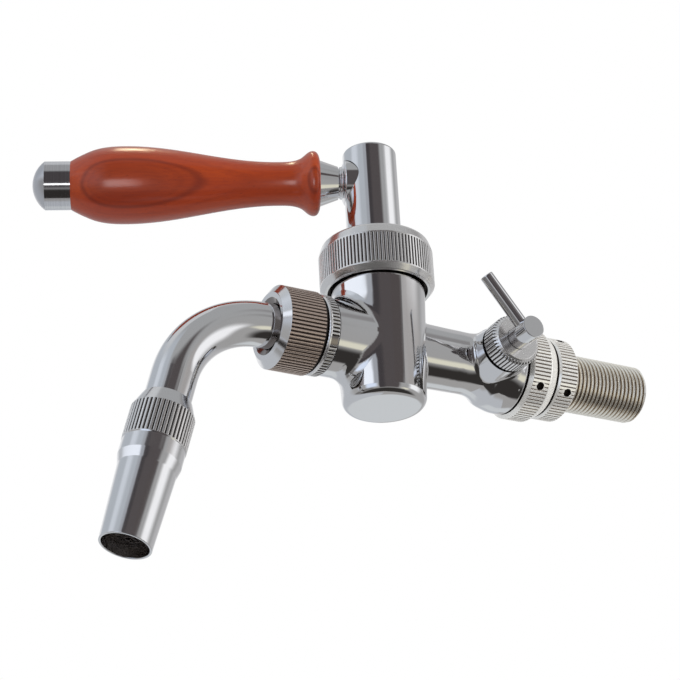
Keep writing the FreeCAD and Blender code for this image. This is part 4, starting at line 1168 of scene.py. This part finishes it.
@dataclass
class WallMount(SubAssembly):
    """Coupling nut, threaded shank and wall lock ring."""

    coupling_knurls: int = 78
    lock_knurls: int = 69
    coupling_start: float = 56.9
    coupling_front: float = 58.1
    coupling_front_step: float = 1.6
    coupling_knurl_end: float = 66.0
    coupling_end: float = 70.0
    coupling_back_step: float = 2.4
    coupling_radius: float = 18.5
    coupling_bore: float = 13.82
    web_from: float = 67.3
    ring_bore: float = 11.755
    holes: int = 4
    hole_radius: float = 1.65
    hole_depth: float = 2.0
    hole_over: float = 2.0
    # Depth into a hole from which its faces get painted shade.
    hole_rim: float = 0.5
    hole_steps: int = 32
    # Station and angle in degrees of each ring's first hole.
    coupling_hole: tuple[float, float] = (61.9, -38.7)
    lock_start: float = 71.1
    lock_end: float = 79.9
    lock_radius: float = 16.4
    lock_chamfer: float = 0.8
    lock_hole: tuple[float, float] = (76.0, -42.0)
    flange: tuple[float, float, float] = (64.0, 67.3, 13.3)
    thread_radius: float = 11.455
    thread_pitch: float = 1.814
    thread_depth: float = 1.15
    thread_chamfer: float = 1.3
    thread_steps: int = 60
    pitch_steps: int = 10
    # Steepness, width of the root and roundness of the thread's ridge, as shares of its pitch and height.
    ridge_slope: float = 1.45
    ridge_root: float = 0.2
    ridge_round: float = 0.35
    shank_end: float = 116.4
    shank_bore: float = 5.0
    socket: float = 6.5
    socket_depth: float = 12.0

    def drilled(self, corners: Sequence[Corner], knurl: Knurl, radius: float, hole: tuple[float, float]) -> Mesh:
        """Knurled ring with painted shade on its front face and inside its spanner holes.

        Args:
            corners: the ring's outline.
            knurl: its knurl.
            radius: its radius.
            hole: station and angle in degrees of its first hole.

        Returns:
            The mesh.
        """
        # The front face, in the gap before the ring, gets painted shade.
        front = corners[0][0] + SLACK
        ring = painted(turned(corners, knurl), SECOND, lambda z, r, a: z < front)
        station, degrees = hole
        # On the wall axis, local Y is the frame's -Z, so the angle is turned over.
        turns = [math.radians(degrees + 360 / self.holes * i) for i in range(self.holes)]
        ways = [Vector((math.cos(turn), -math.sin(turn), 0.0)) for turn in turns]
        low, high = radius - self.hole_depth, radius + self.hole_over
        rod = [(low, 0.0), (low, self.hole_radius), (high, self.hole_radius), (high, 0.0)]
        cutters = []
        for way in ways:
            cutter = turned(rod, steps=self.hole_steps, closed=False)
            spin = Vector((0, 0, 1)).rotation_difference(way).to_matrix().to_4x4()
            cutter.transform(Matrix.Translation((0, 0, station)) @ spin)
            cutters.append(cutter)
        bm = cut_away(ring, joined(cutters))
        # Faces inside the holes, deeper than the hole's rim, get painted shade.
        for face in bm.faces:
            centre = face.calc_center_median()
            for way in ways:
                depth = radius - centre.dot(way)
                across = (centre - way * centre.dot(way) - Vector((0, 0, station))).length
                if self.hole_rim < depth < self.hole_depth + 0.1 and across < self.hole_radius + 0.02:
                    face.material_index = SECOND
        return bm

    def coupling(self) -> Mesh:
        """Knurled ring with a chamfered back web and spanner holes.

        Returns:
            The mesh.
        """
        corners = [(self.coupling_start, self.coupling_bore),
                   (self.coupling_start, self.coupling_radius - self.coupling_front_step, 0.2),
                   (self.coupling_front, self.coupling_radius, 0.3),
                   (self.coupling_knurl_end, self.coupling_radius, 1.0),
                   (self.coupling_end, self.coupling_radius - self.coupling_back_step, 0.5),
                   (self.coupling_end, self.ring_bore), (self.web_from, self.ring_bore),
                   (self.web_from, self.coupling_bore)]
        knurl = Knurl(self.coupling_knurls, self.coupling_front + 0.1, self.coupling_knurl_end - 0.4, 0.4, 0.25,
                      self.coupling_bore + 0.5, width=0.38)
        return self.drilled(corners, knurl, self.coupling_radius, self.coupling_hole)

    def lock_ring(self) -> Mesh:
        """Knurled ring with chamfers and spanner holes.

        Returns:
            The mesh.
        """
        chamfer = self.lock_chamfer
        corners = [(self.lock_start, self.ring_bore), (self.lock_start, self.lock_radius - chamfer, 0.2),
                   (self.lock_start + chamfer, self.lock_radius, 0.2),
                   (self.lock_end - chamfer, self.lock_radius, 0.2),
                   (self.lock_end, self.lock_radius - chamfer, 0.2), (self.lock_end, self.ring_bore)]
        knurl = Knurl(self.lock_knurls, self.lock_start + 0.9, self.lock_end - 0.4, 0.4, 0.25,
                      self.ring_bore + 0.5, width=0.38)
        return self.drilled(corners, knurl, self.lock_radius, self.lock_hole)

    def thread(self, start: float, end: float) -> Mesh:
        """Skin of a cut thread on the Z axis, open at both ends.

        Args:
            start: station of its first rim.
            end: station of its last rim.

        Returns:
            The skin.
        """
        points = []
        across = self.pitch_steps
        for i in range(across * (math.ceil((end - start) / self.thread_pitch) + 2) + 1):
            share = (i % across) / across
            rise = (1.0 - abs(2.0 * share - 1.0)) * self.ridge_slope - self.ridge_root
            ridge = min(1.0, max(0.0, rise))
            ridge = ridge * ridge * (3 - 2 * ridge) * self.ridge_round + ridge * (1.0 - self.ridge_round)
            radius = self.thread_radius - self.thread_depth * (1.0 - ridge)
            points.append(Vector((radius, start + self.thread_pitch * (i / across - 1.0))))
        bm = spun(points, self.thread_steps, closed=False, rise=self.thread_pitch)
        for station, side in ((start, -1.0), (end, 1.0)):
            bmesh.ops.bisect_plane(bm, geom=everything(bm), plane_co=(0, 0, station), plane_no=(0, 0, side),
                                   clear_outer=True)
        bmesh.ops.remove_doubles(bm, verts=bm.verts, dist=WELD)
        for vert in bm.verts:
            radius = math.hypot(vert.co.x, vert.co.y)
            allowed = self.thread_radius - max(0.0, vert.co.z - end + self.thread_chamfer)
            if radius > allowed:
                vert.co.x *= allowed / radius
                vert.co.y *= allowed / radius
        return bm

    def shank(self) -> Mesh:
        """Threaded tube with its flange, bored through with a wider socket at the end.

        Returns:
            The mesh.
        """
        front, back, radius = self.flange
        inner = self.shank_end - self.socket_depth
        core = turned([(self.shank_end, self.socket), (inner, self.socket), (inner, self.shank_bore),
                       (front, self.shank_bore), (front, radius, 0.2), (back, radius, 0.2),
                       (back, self.thread_radius - self.thread_depth - 0.3)], steps=self.thread_steps, closed=False)
        bm = joined([core, self.thread(back, self.shank_end)])
        for station in (back, self.shank_end):
            rims = [e for e in bm.edges if e.is_boundary and abs(e.verts[0].co.z - station) < 0.01]
            bmesh.ops.bridge_loops(bm, edges=rims)
        bmesh.ops.recalc_face_normals(bm, faces=bm.faces)
        # Each point keeps its depth in the thread, by which the thread finish paints shade into the roots.
        layer = bm.verts.layers.float["groove"]
        for vert in bm.verts:
            depth = (self.thread_radius - math.hypot(vert.co.x, vert.co.y)) / self.thread_depth
            vert[layer] = min(1.0, max(0.0, depth)) if vert.co.z > back + 0.01 else 0.0
        root = self.thread_radius - self.thread_depth - 0.2
        return painted(bm, SECOND, lambda z, r, a: r < root or z < back + 0.01)

    def build(self) -> None:
        """Both rings and the shank."""
        # Both rings get the lighter knurling as painted light, with painted shade in gaps and holes.
        rings = [self.finishes.lit_knurled, self.finishes.shadowed]
        self.add(self.coupling(), "coupling_knurled_nut", TO_WALL, "faucet", rings, "knurled_chrome",
                 ["coupling_nut"])
        self.add(self.lock_ring(), "wall_lock_ring", TO_WALL, "wall_ring", rings, "knurled_chrome", ["lock_ring"])
        self.add(self.shank(), "threaded_shank", TO_WALL, "faucet",
                 [self.finishes.thread, self.finishes.steel], "shank_metal", ["shank"], THREAD_ANGLE)
        self.dress(self.finishes.rubber, "shank_seal")


# Studio


# Elevation that an upright mirror shows to the camera.
MIRROR_RING = 26.2


@dataclass(frozen=True)
class Panel:
    """A soft-edged patch of the surroundings, in degrees round from the camera and above the horizon.

    Attributes:
        around: where its left edge starts and is full, and its right edge is full and ends.
        above: the same for its lower and upper edge.
        colour: its colour.
        lean: degrees that it moves round for each degree above the post's mirror ring.
    """

    around: tuple[float, float, float, float]
    above: tuple[float, float, float, float]
    colour: Colour
    lean: float = 0.0

    def share(self, azimuth: Shade, elevation: Shade) -> Shade:
        """How much of the panel is seen in a direction.

        Args:
            azimuth: degrees to the camera's right.
            elevation: degrees above the horizon.

        Returns:
            0 outside the panel and 1 inside it.
        """
        left, full_left, full_right, right = self.around
        low, full_low, full_high, high = self.above
        if self.lean:
            azimuth = azimuth + self.lean * (elevation - MIRROR_RING)
        across = azimuth.ramp(left, full_left) * azimuth.ramp(right, full_right)
        return across * elevation.ramp(low, full_low) * elevation.ramp(high, full_high)


# Surroundings that the metal reflects. Each panel covers those before it.
PANELS = {
    "left wall": Panel((-200, -190, -105, -80), (-80, -65, 40, 60), (0.54, 0.565, 0.60)),
    "left upper": Panel((-150, -120, -28, -14), (24, 31, 60, 78), (0.50, 0.54, 0.59)),
    "left sheen": Panel((-88, -74, -62, -42), (24, 30, 46, 60), (0.70, 0.75, 0.82)),
    "left ceiling": Panel((-200, -190, -85, -50), (45, 65, 100, 110), (0.64, 0.66, 0.68)),
    "right wall": Panel((118, 138, 200, 210), (-12, 0, 75, 85), (0.52, 0.52, 0.53)),
    "far window": Panel((-200, -190, -150, -128), (2, 14, 32, 44), (0.88, 0.89, 0.91)),
    "far window end": Panel((152, 172, 200, 210), (2, 14, 32, 44), (0.75, 0.75, 0.76)),
    "left softbox": Panel((-120, -100, -62, -40), (10, 16, 24, 30), (1.02, 1.08, 1.18), 6.5),
    "right softbox": Panel((64, 78, 92, 118), (-26, -12, 31, 41), (1.06, 1.07, 1.09)),
    "right bar": Panel((56, 72, 112, 132), (14, 18, 22, 26), (0.42, 0.405, 0.40)),
    "right upper": Panel((50, 68, 118, 140), (35, 41, 46, 54), (0.28, 0.275, 0.28)),
    "below": Panel((-102, -84, 126, 142), (-110, -100, -52, -36), (0.036, 0.033, 0.031)),
    "left low": Panel((-98, -88, -36, -26), (-46, -38, -30, -20), (0.19, 0.185, 0.185)),
    "left glow": Panel((-52, -42, -24, -12), (-34, -12, 10, 18), (0.80, 0.90, 1.08)),
    "left edge": Panel((-30, -22, -10, -4), (6, 12, 36, 50), (0.40, 0.42, 0.46)),
    "room": Panel((-15, -10, 37, 50), (-44, -32, 37, 48), (0.094, 0.083, 0.085)),
    "room door": Panel((28, 34, 50, 58), (14, 18, 25, 29), (0.092, 0.080, 0.080)),
    "room corner": Panel((-15, -9, -3, 8), (-44, -32, 37, 48), (0.060, 0.054, 0.058)),
    "warm sheet": Panel((50, 58, 70, 80), (-42, -37, -30, -21), (0.82, 0.80, 0.66)),
    "back bounce": Panel((-200, -190, -166, -150), (-42, -33, -18, -8), (0.66, 0.69, 0.71)),
    "back bounce end": Panel((150, 166, 200, 210), (-42, -33, -18, -8), (0.66, 0.69, 0.71)),
}


@dataclass
class Studio:
    """Camera at the photograph's viewing angle, soft light, pale floor and white surroundings."""

    azimuth: float = 60.68
    elevation: float = -26.19
    roll: float = -3.06
    distance: float = 800.0
    shift_across: float = -15.7
    shift_up: float = 3.0
    focal_pixels: float = 2093.83
    image_pixels: float = 680.0
    sensor: float = 36.0
    floor_z: float = -0.85
    floor_size: float = 8.0
    tent_low: Colour = (0.40, 0.395, 0.39)
    tent_high: Colour = (0.40, 0.41, 0.42)
    plain_light: Colour = (0.82, 0.83, 0.84)
    paper: Colour = (0.82, 0.83, 0.84)
    # Points that the soft lamps and the glints face, in millimetres, and distance of the glints.
    lamp_aim: tuple[float, float, float] = (0.0, -30.0, 0.0)
    glint_aim: tuple[float, float, float] = (-42.0, -93.0, 73.0)
    glint_distance: float = 0.9

    def bases(self) -> tuple[Vector, Vector, Vector, Vector]:
        """Directions of the camera before its roll.

        Returns:
            Its right, its up, the way back to it, and the level way back to it.
        """
        a, e = math.radians(self.azimuth), math.radians(self.elevation)
        back = Vector((math.sin(a) * math.cos(e), -math.cos(a) * math.cos(e), math.sin(e)))
        right = Vector((math.cos(a), math.sin(a), 0.0))
        return right, back.cross(right), back, Vector((back.x, back.y, 0.0)).normalized()

    def camera(self) -> None:
        """Makes the scene's camera."""
        right, up, back, _ = self.bases()
        r = math.radians(self.roll)
        across = right * math.cos(r) + up * math.sin(r)
        above = up * math.cos(r) - right * math.sin(r)
        centre = back * self.distance + across * self.shift_across + above * self.shift_up
        data = bpy.data.cameras.new("photo_camera")
        data.sensor_width = self.sensor
        data.lens = self.focal_pixels / self.image_pixels * self.sensor
        data.clip_start = 0.01
        data.clip_end = 50.0
        camera = bpy.data.objects.new("photo_camera", data)
        turn = Matrix((across, above, back)).transposed().to_4x4()
        camera.matrix_world = Matrix.Translation((centre + VALVE_CENTRE) * MM) @ turn
        bpy.context.scene.collection.objects.link(camera)
        bpy.context.scene.camera = camera

    def floor(self) -> None:
        """Makes the pale floor, well below the faucet."""
        bm = bmesh.new()
        bmesh.ops.create_grid(bm, x_segments=1, y_segments=1, size=self.floor_size / 2)
        mesh = bpy.data.meshes.new("floor")
        bm.transform(Matrix.Translation((0, 0, self.floor_z)))
        bm.to_mesh(mesh)
        bm.free()
        floor = bpy.data.objects.new("floor", mesh)
        bpy.context.scene.collection.objects.link(floor)
        mesh.materials.append(Plastic("floor_paper", colour=self.paper, roughness=0.9).material())
        floor.visible_glossy = False

    def world(self) -> None:
        """White surroundings to the eye; a light tent with panels and a dark opening to the metal."""
        world = bpy.data.worlds.new("studio")
        bpy.context.scene.world = world
        world.use_nodes = True
        graph = Graph(world.node_tree)
        way = graph.node("ShaderNodeTexCoord")["Generated"]
        right, _, _, ahead = self.bases()
        side, front, height = (graph.along(way, axis) for axis in (right, ahead, (0.0, 0.0, 1.0)))
        azimuth = side.math("ARCTAN2", front) * math.degrees(1)
        elevation = height.math("ARCSINE") * math.degrees(1)
        tent = graph.mix(elevation.ramp(-70.0, 80.0), self.tent_low, self.tent_high)
        for panel in PANELS.values():
            tent = graph.mix(panel.share(azimuth, elevation), tent, panel.colour)
        rays = graph.node("ShaderNodeLightPath")
        colour = graph.mix(rays["Is Glossy Ray"], self.plain_light, tent)
        colour = graph.mix(rays["Is Camera Ray"], colour, (1.0, 1.0, 1.0))
        light = graph.node("ShaderNodeBackground", None, {"Color": colour, "Strength": 1.0})
        graph.node("ShaderNodeOutputWorld", None, {"Surface": light[0]})

    def lamp(self, name: str, aim: Sequence[float], offset: Vector, size: tuple[float, float],
             power: float) -> bpy.types.Object:
        """Adds one lamp that the camera doesn't see.

        Args:
            name: the lamp's name.
            aim: the point that it faces, in millimetres from the valve's centre.
            offset: where it is from there, in metres.
            size: its width and height, in metres.
            power: its power in watts.

        Returns:
            The lamp.
        """
        data = bpy.data.lights.new(name, "AREA")
        data.shape = "RECTANGLE"
        data.size, data.size_y = size
        data.energy = power
        lamp = bpy.data.objects.new(name, data)
        place = (VALVE_CENTRE + Vector(aim)) * MM + offset
        lamp.matrix_world = Matrix.Translation(place) @ offset.to_track_quat("Z", "Y").to_matrix().to_4x4()
        lamp.visible_camera = False
        bpy.context.scene.collection.objects.link(lamp)
        return lamp

    def soft_lamp(self, name: str, across: float, up: float, back: float, size: float, power: float) -> None:
        """Adds one soft square lamp that shows in no reflection.

        Args:
            name: the lamp's name.
            across: metres to the camera's right.
            up: metres above the faucet.
            back: metres towards the camera.
            size: its width in metres.
            power: its power in watts.
        """
        right, _, _, ahead = self.bases()
        offset = right * across + ahead * back + Vector((0, 0, up))
        self.lamp(name, self.lamp_aim, offset, (size, size), power).visible_glossy = False

    def glint(self, name: str, azimuth: float, elevation: float, size: tuple[float, float], radiance: float,
              tint: Colour, node: str) -> None:
        """Adds a small lamp whose reflection shows on one construction node of the handle.

        Args:
            name: the lamp's name.
            azimuth: its direction from the grip, in degrees to the camera's right.
            elevation: its height above the horizon, in degrees.
            size: its width and height, in metres.
            radiance: its brightness.
            tint: its colour.
            node: the construction node that it lights.
        """
        right, _, _, ahead = self.bases()
        a, e = math.radians(azimuth), math.radians(elevation)
        way = (ahead * math.cos(a) + right * math.sin(a)) * math.cos(e) + Vector((0, 0, math.sin(e)))
        power = radiance * math.pi * size[0] * size[1]
        lamp = self.lamp(name, self.glint_aim, way * self.glint_distance, size, power)
        lamp.data.color = tint
        lit = bpy.data.collections.new(name + "_receivers")
        lit.objects.link(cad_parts[node])
        lamp.light_linking.receiver_collection = lit

    def build(self) -> None:
        """Camera, floor, surroundings and lamps."""
        bpy.context.scene.view_settings.view_transform = "Standard"
        self.camera()
        self.floor()
        self.world()
        self.soft_lamp("key", -0.9, 1.3, 0.5, 0.6, 8.0)
        self.soft_lamp("fill", 1.4, 0.5, 0.6, 0.5, 2.0)
        self.soft_lamp("side", 1.6, 0.35, 0.3, 0.7, 14.0)
        self.glint("cap_window", -1.0, -22.5, (0.3, 0.10), 2.6, (1.0, 1.0, 1.0), "end_cap")
        self.glint("grip_window", -3.0, -23.5, (0.36, 0.32), 4.6, (1.0, 0.97, 1.0), "grip")
        self.glint("ceiling_lamp", -178.0, 80.0, (0.10, 0.24), 12.0, (1.0, 0.93, 0.62), "grip")


def main() -> None:
    """Builds the studio and the faucet."""
    studio = Studio()
    studio.build()
    back = studio.bases()[2]
    handle = Axis((0.0, 0.0, HANDLE_HEIGHT), (-math.sin(HANDLE_TURN), -math.cos(HANDLE_TURN), 0.0))
    length = Vector(handle.direction)
    towards = (back - length * back.dot(length)).normalized()
    finishes = Finishes(handle, towards)
    for part in (Valve(finishes), Handle(finishes), Outlet(finishes), Nozzle(finishes),
                 FlowControl(finishes), WallMount(finishes)):
        LOG.info("building %s", type(part).__name__)
        part.build()


if __name__ == "__main__":
    main()
